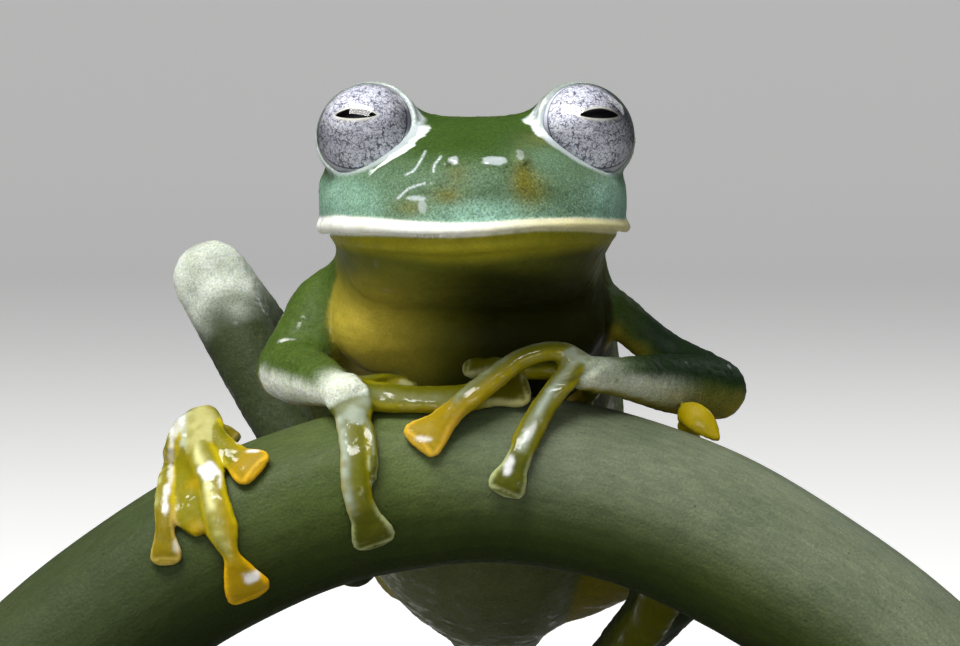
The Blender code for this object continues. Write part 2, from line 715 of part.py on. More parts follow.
def main():
    clear_scene()
    parts = new_collection("glass_frog")
    anchor = bpy.data.objects.new("perch_anchor", None)
    parts.objects.link(anchor)
    anchor.location = (0.0, PERCH_SHIFT_Y * MM, 0.0)

    green = new_material("frog_skin", SKIN_GREEN, 0.3)
    olive = new_material("frog_belly", THROAT_OLIVE, 0.35)
    yellow = new_material("frog_digits", TOE_YELLOW, 0.25)
    silver = new_material("frog_iris", IRIS_SILVER, 0.1)
    plant = new_material("stem_bark", STEM_GREEN, 0.6)
    stand = new_material("stand_grey", STAND_GREY, 0.5)

    head = build_head(parts)
    eyes = {
        "right": build_eye("eye_right", -1.0, parts),
        "left": build_eye("eye_left", 1.0, parts),
    }
    turn_head(head, *eyes.values())
    torso = build_torso("torso", parts)
    apply_boolean(head, [torso], "UNION")
    torso = bpy.data.objects.new("torso", head.data.copy())
    parts.objects.link(torso)
    tilt = math.radians(NECK_TILT)
    neck_normal = np.array([0.0, math.cos(tilt), -math.sin(tilt)])
    neck = np.array([0.0, NECK_Y, NECK_Z])
    slice_off(head, neck - neck_normal * GAP / 2.0, neck_normal)
    slice_off(torso, neck + neck_normal * GAP / 2.0, -neck_normal)

    nodes = [(head, green), (torso, olive)]
    nodes += [(eye, silver) for eye in eyes.values()]
    for side in ("right", "left"):
        upper_rows, fore_rows = arm_stations(side)
        upper = limb("upper_arm_" + side, upper_rows, parts)
        fore = limb("forearm_" + side, fore_rows, parts)
        hand = build_hand("hand_" + side, side, parts)
        meet_at_joint(upper, fore, ELBOW[side], SHOULDER[side], WRIST[side])
        beyond = 2.0 * np.array(WRIST[side]) - np.array(ELBOW[side])
        meet_at_joint(fore, hand, WRIST[side], ELBOW[side], beyond)
        apply_boolean(upper, [build_torso("cutter", parts, GAP)], "DIFFERENCE")

        thigh_rows, shank_rows = leg_stations(side)
        thigh = limb("thigh_" + side, thigh_rows, parts)
        shank = limb("shank_" + side, shank_rows, parts)
        tarsus = build_tarsus("tarsus_" + side, side, parts)
        foot = build_foot("foot_" + side, side, parts)
        meet_at_joint(thigh, shank, KNEE[side], HIP[side], HEEL[side])
        meet_at_joint(shank, tarsus, HEEL[side], KNEE[side], INSTEP[side])
        beyond = 2.0 * np.array(INSTEP[side]) - np.array(HEEL[side])
        meet_at_joint(tarsus, foot, INSTEP[side], HEEL[side], beyond)
        apply_boolean(thigh, [build_torso("cutter", parts, GAP)], "DIFFERENCE")
        nodes += [(upper, green), (fore, green), (hand, yellow)]
        nodes += [(thigh, green), (shank, green), (tarsus, green), (foot, yellow)]

    nodes.append((build_stem("perch_stem", parts), plant))
    nodes.append((build_base("stand_base", parts), stand))
    nodes.append((build_rod("stand_rod_right", -ROD_OFFSET, parts), stand))
    nodes.append((build_rod("stand_rod_left", ROD_OFFSET, parts), stand))
    for obj, material in nodes:
        dress(obj, material, anchor)


main()
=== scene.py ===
"""A life-size glass frog that grips an arched plant stem, on a plain display stand.

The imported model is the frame. One continuous skin takes the place of all its nodes of flesh, two
domed eyes sit in the skin's sockets, and the stem and stand get finer surfaces. Places and sizes
are millimetres in the stem's frame: the stem runs along X at y = 0, the frog looks along -Y, and
its right side is at -X. to_row_frame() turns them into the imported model's metres.
"""

from __future__ import annotations

import logging
import math
from dataclasses import dataclass, field
from enum import Enum
from typing import Callable, Iterable, Sequence

import bmesh
import bpy
import numpy as np
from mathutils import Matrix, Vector

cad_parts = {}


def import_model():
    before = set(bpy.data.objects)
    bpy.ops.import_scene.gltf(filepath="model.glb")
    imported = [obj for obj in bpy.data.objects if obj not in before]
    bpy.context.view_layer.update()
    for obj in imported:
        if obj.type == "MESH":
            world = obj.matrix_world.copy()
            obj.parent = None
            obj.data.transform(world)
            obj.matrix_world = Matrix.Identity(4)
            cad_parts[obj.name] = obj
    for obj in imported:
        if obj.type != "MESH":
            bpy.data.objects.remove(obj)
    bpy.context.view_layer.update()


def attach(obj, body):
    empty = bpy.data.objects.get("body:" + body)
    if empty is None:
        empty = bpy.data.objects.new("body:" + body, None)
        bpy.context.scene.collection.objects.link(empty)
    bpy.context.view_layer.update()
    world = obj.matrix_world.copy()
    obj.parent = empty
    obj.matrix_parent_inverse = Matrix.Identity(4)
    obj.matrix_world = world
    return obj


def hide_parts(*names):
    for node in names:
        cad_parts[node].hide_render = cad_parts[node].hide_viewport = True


LOG = logging.getLogger("glass_frog")

MM = 0.001
PERCH_SHIFT_Y = -7.0

Rows = Sequence[Sequence[float]]


class Side(Enum):
    """The frog's own sides, with the sign of their X."""

    RIGHT = -1.0
    LEFT = 1.0


class Zone(Enum):
    """The parts of the body that the paint tells apart."""

    HEAD = 0
    TRUNK = 1
    UPPER_ARM = 2
    FOREARM = 3
    PALM = 4
    FINGER = 5
    THIGH = 6
    SHANK = 7
    TARSUS = 8
    SOLE = 9
    TOE = 10
    WEB = 11


# Numbers and curves


def unit(vector: Sequence[float]) -> np.ndarray:
    """The vector at length one."""
    vector = np.asarray(vector, float)
    return vector / np.linalg.norm(vector)


def unit_rows(rows: np.ndarray) -> np.ndarray:
    """Each row at length one."""
    return rows / np.maximum(np.linalg.norm(rows, axis=1, keepdims=True), 1e-12)


def smoothstep(low: float, high: float, value: np.ndarray) -> np.ndarray:
    """Soft step from 0 at low to 1 at high."""
    share = np.clip((value - low) / (high - low), 0.0, 1.0)
    return share * share * (3.0 - 2.0 * share)


def bell(offset: np.ndarray, width: float) -> np.ndarray:
    """Bell curve that is 1 at no offset and falls to 1/e at the width."""
    return np.exp(-((offset / width) ** 2))


def smooth_rows(rows: Rows, steps: int) -> np.ndarray:
    """Catmull-Rom curve through rows of numbers.

    Args:
        rows: The rows that the curve passes through.
        steps: How many steps each span is cut into.

    Returns:
        The curve's rows.
    """
    rows = np.asarray(rows, float)
    padded = np.vstack([2 * rows[0] - rows[1], rows, 2 * rows[-1] - rows[-2]])
    shares = (np.arange(steps) / steps)[:, None]
    spans = []
    for a, b, c, d in zip(padded, padded[1:], padded[2:], padded[3:]):
        line = 2 * b + (c - a) * shares
        bend = (2 * a - 5 * b + 4 * c - d) * shares**2 + (3 * b - a - 3 * c + d) * shares**3
        spans.append(0.5 * (line + bend))
    return np.vstack([*spans, rows[-1]])


def scatter(cells: np.ndarray, seed: int) -> np.ndarray:
    """A fixed number from 0 to 1 for each cell of a lattice."""
    x, y, z = cells.T
    mixed = (x * 73856093) ^ (y * 19349663) ^ (z * 83492791) ^ (seed * 2654435761)
    mixed = ((mixed ^ (mixed >> 13)) * 1274126177) & 0xFFFFFFFF
    mixed ^= mixed >> 16
    return (mixed & 0xFFFF) / 65535.0


def lattice_noise(points: np.ndarray, period: float, seed: int) -> np.ndarray:
    """Smooth noise in space.

    Args:
        points: Where it is wanted.
        period: Rough size of its swellings.
        seed: Chooses one noise among many.

    Returns:
        Values from -1 to 1, the same in every run.
    """
    place = points / period
    cell = np.floor(place).astype(np.int64)
    share = place - cell
    share = share * share * (3.0 - 2.0 * share)
    total = np.zeros(len(points))
    for corner in np.ndindex(2, 2, 2):
        weight = np.where(np.array(corner) == 1, share, 1.0 - share).prod(axis=1)
        total += (2.0 * scatter(cell + np.array(corner), seed) - 1.0) * weight
    return total


def pebbles(points: np.ndarray, size: float, seed: int) -> np.ndarray:
    """Height from 0 to 1 of round granules of one size, packed without order."""
    place = points / size
    cell = np.floor(place).astype(np.int64)
    nearest = np.full(len(points), 9.0)
    for step in np.ndindex(3, 3, 3):
        near = cell + np.array(step) - 1
        seeds = near + np.stack([scatter(near, seed + k) for k in range(3)], 1)
        nearest = np.minimum(nearest, ((seeds - place) ** 2).sum(1))
    return np.clip(1.0 - 1.7 * nearest, 0.0, 1.0)


def to_row_frame(points: np.ndarray) -> np.ndarray:
    """Points of the stem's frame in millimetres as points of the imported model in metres."""
    return (points + np.array([0.0, PERCH_SHIFT_Y, 0.0])) * MM


# Closed shells and meshes


@dataclass
class Shell:
    """Points and faces of a closed surface."""

    points: np.ndarray
    faces: list[tuple[int, ...]]

    @staticmethod
    def joined(shells: Iterable["Shell"]) -> "Shell":
        """All shells as one list of points and faces."""
        points: list[np.ndarray] = []
        faces: list[tuple[int, ...]] = []
        start = 0
        for shell in shells:
            points.append(shell.points)
            faces += [tuple(start + corner for corner in face) for face in shell.faces]
            start += len(shell.points)
        return Shell(np.vstack(points), faces)


def loft(rings: Sequence[np.ndarray]) -> Shell:
    """A closed skin over rings of equal count, with a point in the middle of each end."""
    count = len(rings[0])
    corner = np.arange(count)
    after = (corner + 1) % count
    faces: list[tuple[int, ...]] = []
    for start in range(0, (len(rings) - 1) * count, count):
        quads = np.stack([start + corner, start + after, start + count + after, start + count + corner], 1)
        faces += [tuple(quad) for quad in quads.tolist()]
    points = [np.asarray(ring) for ring in rings]
    total = len(rings) * count
    for end, first, ring in ((0, 0, rings[0]), (1, total - count, rings[-1])):
        points.append(np.mean(ring, axis=0)[None, :])
        for i in range(count):
            pair = (first + i, first + (i + 1) % count)
            faces.append((total + end, *(pair if end else pair[::-1])))
    return Shell(np.vstack(points), faces)


def turned(profile: Rows, centre: np.ndarray, axis: np.ndarray, sides: int) -> Shell:
    """A closed turned form.

    Args:
        profile: Rows of radius and height along the axis, from one end to the other.
        centre: Where height is zero.
        axis: Direction of the height, at length one.
        sides: How many points each ring has.

    Returns:
        The shell.
    """
    level = unit(np.cross(axis, (0.3, 0.1, 1.0) if abs(axis[2]) < 0.9 else (1.0, 0.0, 0.0)))
    other = np.cross(axis, level)
    turn = np.linspace(0.0, 2.0 * math.pi, sides, endpoint=False)
    circle = np.outer(np.cos(turn), level) + np.outer(np.sin(turn), other)
    return loft([centre + axis * height + circle * radius for radius, height in profile])


def mesh_object(name: str, shell: Shell) -> bpy.types.Object:
    """A smooth-shaded object from a shell in the stem's frame, with its faces turned outward."""
    mesh = bpy.data.meshes.new(name)
    mesh.from_pydata(to_row_frame(shell.points).tolist(), [], shell.faces)
    work = bmesh.new()
    work.from_mesh(mesh)
    bmesh.ops.recalc_face_normals(work, faces=work.faces)
    work.to_mesh(mesh)
    work.free()
    mesh.shade_smooth()
    obj = bpy.data.objects.new(name, mesh)
    bpy.context.scene.collection.objects.link(obj)
    return obj


def write_attribute(mesh: bpy.types.Mesh, name: str, values: np.ndarray) -> None:
    """Writes a number, vector or colour for each point of a mesh, by the width of its rows."""
    kinds = {1: ("FLOAT", "value"), 3: ("FLOAT_VECTOR", "vector"), 4: ("FLOAT_COLOR", "color")}
    values = values.reshape(len(mesh.vertices), -1)
    kind, key = kinds[values.shape[1]]
    made = mesh.attributes.new(name, kind, "POINT")
    made.data.foreach_set(key, values.astype(np.float32).ravel())


# Forms


@dataclass(frozen=True)
class StemLine:
    """The middle line of the plant stem: a parabola in the XZ plane."""

    radius: float = 3.0
    apex_z: float = 16.06
    bend: float = 0.029
    half_span: float = 17.0

    def height(self, x: np.ndarray | float) -> np.ndarray | float:
        """Height of the middle line."""
        return self.apex_z - self.bend * x * x

    def on_skin(self, x: float, z: float, lift: float, side: float = -1.0) -> tuple[float, float, float]:
        """The point at (x, z) of the front view that lies lift above the stem, in front (-1) or behind (1)."""
        slope = math.atan(2.0 * self.bend * x)
        across = (z - self.height(x)) * math.cos(slope)
        reach = (self.radius + lift) ** 2 - across**2
        return (x, side * math.sqrt(max(reach, 0.0)), z)

    def outward(self, point: np.ndarray) -> np.ndarray:
        """Unit normal of the stem's skin nearest to a point."""
        slope = math.atan(2.0 * self.bend * point[0])
        rise = (point[2] - self.height(point[0])) * math.cos(slope)
        return unit((rise * math.sin(slope), point[1], rise * math.cos(slope)))


STEM = StemLine()


@dataclass
class Sweep:
    """A fleshy form through stations of x, y, z, half width, height above and depth below."""

    zone: Zone
    stations: Rows
    up: Callable[[np.ndarray], np.ndarray] | tuple[float, float, float] = (0.0, 0.0, 1.0)
    sides: int = 24
    steps: int = 6
    power: float = 2.0
    marks: tuple[float, float, float] = (0.0, 0.0, 0.0)

    def frames(self) -> tuple[np.ndarray, np.ndarray, np.ndarray, np.ndarray, np.ndarray]:
        """Centres, tangents, side directions, up directions and sizes along the form."""
        rows = smooth_rows(self.stations, self.steps)
        centres = rows[:, :3]
        sizes = np.maximum(rows[:, 3:], 0.04)
        tangents = unit_rows(np.gradient(centres, axis=0))
        ups = np.array([self.up(c) if callable(self.up) else self.up for c in centres], float)
        across = unit_rows(np.cross(tangents, ups))
        return centres, tangents, across, unit_rows(np.cross(across, tangents)), sizes

    def shell(self) -> Shell:
        """The closed skin of the form, with round ends."""
        centres, tangents, across, ups, sizes = self.frames()
        turn = np.linspace(0.0, 2.0 * math.pi, self.sides, endpoint=False)
        wide = np.sign(np.cos(turn)) * np.abs(np.cos(turn)) ** (2.0 / self.power)
        high = np.sign(np.sin(turn)) * np.abs(np.sin(turn)) ** (2.0 / self.power)

        def ring(i: int, scale: float = 1.0, offset: float = 0.0) -> np.ndarray:
            """One ring, scaled and moved along the form for the rounding of its end."""
            height = np.where(high > 0, sizes[i, 1], sizes[i, 2]) * high * scale
            return centres[i] + tangents[i] * offset + np.outer(wide * sizes[i, 0] * scale, across[i]) + np.outer(height, ups[i])

        arcs = [math.radians(turned_by) for turned_by in (18.0, 36.0, 54.0, 72.0, 84.0)]
        last = len(centres) - 1
        reach = [min(sizes[0]), min(sizes[-1])]
        rings = [ring(0, math.cos(arc), -math.sin(arc) * reach[0]) for arc in reversed(arcs)]
        rings += [ring(i) for i in range(last + 1)]
        rings += [ring(last, math.cos(arc), math.sin(arc) * reach[1]) for arc in arcs]
        return loft(rings)


def even(*rows: Sequence[float]) -> list[tuple[float, ...]]:
    """Stations given as x, y, z, half width and half thickness, alike above and below."""
    return [(*row, row[4]) for row in rows]


@dataclass(frozen=True)
class HeadForm:
    """Sizes of the head in its own straight frame, which is turned a little to the frog's left."""

    centre_x: float = -0.15
    yaw_deg: float = 3.0
    widest_y: float = 2.6
    back_power: float = 2.2
    levels: Rows = (
        (21.9, 2.6, 1.6, 2.0),
        (22.3, 3.8, -0.4, 2.0),
        (22.9, 4.4, -2.3, 2.0),
        (23.5, 4.5, -3.7, 2.1),
        (24.0, 4.55, -4.4, 2.2),
        (24.4, 4.72, -4.7, 2.25),
        (24.62, 5.08, -4.85, 2.3),
        (24.82, 5.28, -4.95, 2.3),
        (25.1, 5.4, -5.08, 2.3),
        (25.5, 5.48, -5.2, 2.35),
        (26.0, 5.5, -5.13, 2.3),
        (26.6, 5.45, -5.0, 2.15),
        (27.1, 5.2, -4.75, 2.0),
        (27.6, 4.7, -4.2, 1.9),
        (28.1, 4.0, -3.1, 1.85),
        (28.5, 3.3, -1.7, 1.85),
        (28.78, 2.5, -0.2, 1.9),
        (28.9, 1.5, 1.0, 2.0),
    )
    nape: Rows = ((24.0, 8.0), (26.0, 7.0), (28.0, 5.0), (28.9, 3.7))
    eye_radius: float = 1.9
    eye_centre: tuple[float, float, float] = (3.75, 0.1, 28.22)
    eye_outward_deg: float = 21.5
    eye_upward_deg: float = 21.0
    limbus_depth: float = 0.76
    lid_skin: float = 0.03
    nostril: tuple[float, float, float] = (1.16, -4.2, 27.28)
    nostril_shift: float = 0.2
    nostril_radius: float = 0.42
    lip_heights: Rows = (
        (-5.6, 24.95),
        (-5.0, 25.08),
        (-3.8, 25.08),
        (-2.2, 25.0),
        (-1.0, 24.98),
        (0.0, 25.02),
        (1.0, 25.1),
        (1.8, 25.16),
        (3.4, 25.16),
        (4.8, 25.04),
        (5.6, 24.95),
    )
    lip_halves: Rows = ((-5.6, 0.33), (-4.5, 0.3), (-3.0, 0.24), (0.0, 0.19), (2.0, 0.16), (4.5, 0.2), (5.6, 0.25))

    def to_world(self, points: np.ndarray) -> np.ndarray:
        """Points of the head's frame in the stem's frame."""
        yaw = math.radians(self.yaw_deg)
        x, y, z = np.moveaxis(np.asarray(points, float), -1, 0)
        turned_x = x * math.cos(yaw) - y * math.sin(yaw) + self.centre_x
        return np.stack([turned_x, x * math.sin(yaw) + y * math.cos(yaw), z], -1)

    def to_head(self, points: np.ndarray) -> np.ndarray:
        """Points of the stem's frame in the head's frame."""
        yaw = math.radians(self.yaw_deg)
        x, y, z = np.moveaxis(np.asarray(points, float), -1, 0)
        x = x - self.centre_x
        return np.stack([x * math.cos(yaw) + y * math.sin(yaw), y * math.cos(yaw) - x * math.sin(yaw), z], -1)

    def outline(self, half_width: float, front_y: float, back_y: float, fullness: float, turn: np.ndarray) -> np.ndarray:
        """Plan outline of the head at one height, full round the snout and narrower behind."""
        c, s = np.cos(turn), np.sin(turn)
        power = np.where(s < 0, fullness, self.back_power)
        x = np.sign(c) * np.abs(c) ** (2.0 / power) * half_width
        depth = np.where(s < 0, self.widest_y - front_y, back_y - self.widest_y)
        y = self.widest_y + np.sign(s) * np.abs(s) ** (2.0 / power) * depth
        return np.stack([x, y], 1)

    def core(self) -> Shell:
        """The head without lips, lids and nostrils."""
        turn = np.linspace(0.0, 2.0 * math.pi, 120, endpoint=False)
        nape = np.array(self.nape)
        rings = []
        for z, half_width, front_y, fullness in smooth_rows(self.levels, 4):
            back_y = float(np.interp(z, nape[:, 0], nape[:, 1]))
            flat = self.outline(half_width, front_y, back_y, fullness, turn)
            rings.append(self.to_world(np.column_stack([flat, np.full(len(flat), z)])))
        return loft(rings)

    def lip_height(self, x: np.ndarray) -> np.ndarray:
        """Height of the middle of the upper lip at a place across the head."""
        table = np.array(self.lip_heights)
        return np.interp(x, table[:, 0], table[:, 1])

    def lip_half(self, x: np.ndarray) -> np.ndarray:
        """Half height of the upper lip at a place across the head."""
        table = np.array(self.lip_halves)
        return np.interp(x, table[:, 0], table[:, 1])

    def mouth_height(self, x: np.ndarray) -> np.ndarray:
        """Height of the line between the lips."""
        return self.lip_height(x) - self.lip_half(x) - 0.02

    def rim(self, half_width: float, front_y: float) -> np.ndarray:
        """Plan line round the mouth from one corner to the other, as x, y and the share of the way."""
        turn = np.radians(np.linspace(170.0, 370.0, 34))
        flat = self.outline(half_width, front_y, 8.0, 2.35, turn)
        return np.column_stack([flat, np.linspace(0.0, 1.0, len(turn))])

    def lips(self) -> list[Sweep]:
        """The roll of the upper lip and the flatter roll of the lower jaw."""
        upper = []
        lower = []
        for x, y, share in self.rim(5.33, -5.2):
            fade = float(smoothstep(0.0, 0.09, np.array(min(share, 1.0 - share))))
            half = float(self.lip_half(x))
            place = self.to_world(np.array([x, y, float(self.lip_height(x))]))
            upper.append((*place, 0.2 + 0.1 * fade, half * (0.85 + 0.15 * fade), half * (0.85 + 0.15 * fade)))
        for x, y, share in self.rim(4.74, -4.82):
            fade = float(smoothstep(0.0, 0.1, np.array(min(share, 1.0 - share))))
            middle = math.sin(math.pi * share)
            half = 0.18 + 0.14 * middle
            place = self.to_world(np.array([x, y, float(self.mouth_height(x)) - half * 0.95]))
            lower.append((*place, 0.14 + 0.16 * fade, half, half))
        return [Sweep(Zone.HEAD, upper, steps=2, sides=20), Sweep(Zone.HEAD, lower, steps=2, sides=20)]

    def brows(self) -> list[Sweep]:
        """The masses that carry the eyes and run back into the nape."""
        made = []
        for side in Side:
            s = side.value
            rows = [(s * 3.55, 0.5, 28.15, 1.85, 1.85), (s * 3.3, 2.3, 27.8, 1.7, 1.6), (s * 2.9, 4.4, 26.9, 1.3, 1.2)]
            made.append(Sweep(Zone.HEAD, even(*[(*self.to_world(np.array(row[:3])), *row[3:]) for row in rows])))
        return made

    def nostrils(self) -> list[Sweep]:
        """Two raised nostrils on the tip of the snout."""
        made = []
        for side in Side:
            x, y, z = self.nostril
            x = side.value * x + self.nostril_shift
            near = self.to_world(np.array([x - side.value * 0.1, y + 0.55, z + 0.16]))
            tip = self.to_world(np.array([x, y, z - 0.06]))
            r = self.nostril_radius
            made.append(Sweep(Zone.HEAD, even((*near, r, r * 0.8), (*tip, r * 0.9, r * 0.75)), steps=3))
        return made


HEAD = HeadForm()


@dataclass(frozen=True)
class EyeFrame:
    """Directions of one eye in the stem's frame: gaze, towards the middle of the head, and up."""

    side: Side

    def parts(self) -> tuple[np.ndarray, np.ndarray, np.ndarray, np.ndarray]:
        """Centre, gaze, inward and lift."""
        s = self.side.value
        out = math.radians(HEAD.eye_outward_deg)
        rise = math.radians(HEAD.eye_upward_deg)
        straight = np.array([s * math.sin(out) * math.cos(rise), -math.cos(out) * math.cos(rise), math.sin(rise)])
        x, y, z = HEAD.eye_centre
        centre = HEAD.to_world(np.array([s * x, y, z]))
        gaze = HEAD.to_world(straight) - HEAD.to_world(np.zeros(3))
        inward = unit(np.cross(gaze, (0.0, 0.0, 1.0)))
        if inward[0] * s > 0:
            inward = -inward
        lift = unit(np.cross(gaze, inward))
        return centre, gaze, inward, lift if lift[2] > 0 else -lift

    def place(self, points: np.ndarray) -> tuple[np.ndarray, np.ndarray, np.ndarray]:
        """Depth along the gaze, inward and lift of points, from the eye's centre."""
        centre, gaze, inward, lift = self.parts()
        from_centre = points - centre
        return from_centre @ gaze, from_centre @ inward, from_centre @ lift

    def seat(self) -> Shell:
        """The round mass of the eye behind its lids, flat in front."""
        centre, gaze, _, _ = self.parts()
        radius = HEAD.eye_radius + HEAD.lid_skin
        front = HEAD.limbus_depth - 0.1
        profile = []
        for angle in np.radians(np.linspace(177.0, math.degrees(math.acos(front / radius)), 40)):
            profile.append((radius * math.sin(angle), radius * math.cos(angle)))
        rim = profile[-1][0]
        profile += [(rim * share, front) for share in (0.9, 0.6, 0.3, 0.05)]
        return turned(profile, centre, gaze, 72)

    def lid(self) -> Sweep:
        """Lid margin round the eye, thickest below and towards the middle of the head."""
        centre, gaze, inward, lift = self.parts()
        thickness = ((-180, 0.04), (-135, 0.07), (-90, 0.1), (-45, 0.11), (0, 0.11), (45, 0.1), (90, 0.05), (135, 0.03), (180, 0.03))
        table = np.array(thickness, float)
        rows = []
        for degrees in np.linspace(-172.0, 172.0, 60):
            turn = math.radians(degrees)
            half = float(np.interp(degrees, table[:, 0], table[:, 1]))
            ring = 1.76 + half * 0.9
            point = centre + gaze * (HEAD.limbus_depth - 0.1 - half * 0.7) + (inward * math.cos(turn) + lift * math.sin(turn)) * ring
            rows.append((*point, half, half, half))
        return Sweep(Zone.HEAD, rows, up=tuple(gaze), sides=14, steps=2)


@dataclass
class Digit:
    """One finger or toe.

    places: Its middle line, from the palm to the tip.
    half_width: Half its width along the bones.
    disc: Half the width of its disc.
    orange: How orange the disc is, from 0 for olive to 1.
    pale: How whitish its streak is.
    pale_at: Where the streak lies across it, from -1 to 1.
    tilt: Direction of its top where it doesn't lie flat on the stem.
    """

    places: list[tuple[float, float, float]]
    half_width: float
    disc: float
    orange: float = 0.0
    pale: float = 0.5
    pale_at: float = 0.0
    tilt: tuple[float, float, float] | None = None
    neck: float = 0.9
    thickness: float = 0.3

    def sweep(self, zone: Zone) -> Sweep:
        """The digit, with soft joints, a neck and a flat disc that flares to a blunt end."""
        path = smooth_rows(self.places, 8)
        steps = np.linalg.norm(np.diff(path, axis=0), axis=1)
        length = steps.sum()
        start = np.concatenate([[0.0], np.cumsum(steps)])
        count = max(int(length / 0.2), 8)
        along = np.linspace(0.0, length, count)
        centre = np.column_stack([np.interp(along, start, path[:, k]) for k in range(3)])
        left = (length - along) / self.disc
        flare = ((0.0, 0.88), (0.22, 1.0), (0.7, 0.9), (1.3, 0.66))
        far = 2.1 if length > 3.2 * self.disc else 1.7
        keys = [near for near, _ in flare] + [far, far + 1.1, 99.0]
        widths = [self.disc * share for _, share in flare] + [self.half_width * self.neck, self.half_width, self.half_width]
        width = np.interp(left, keys, widths) * (1.0 + 0.07 * np.cos(along / 0.75) * smoothstep(2.2, 3.0, left))
        flat = smoothstep(2.0, 1.0, left)
        thick = self.thickness * (1.08 - 0.2 * flat) * (1.0 - 0.35 * smoothstep(0.5, 0.0, left))
        rows = []
        for place, wide, high, pressed in zip(centre, width, thick, flat):
            up = np.array(self.tilt) if self.tilt else STEM.outward(place)
            rows.append((*(place - up * 0.06 * pressed), wide, high, high))
        marks = (self.orange, self.pale, self.pale_at)
        return Sweep(zone, rows, up=self.tilt or STEM.outward, sides=26, steps=1, power=2.3, marks=marks)


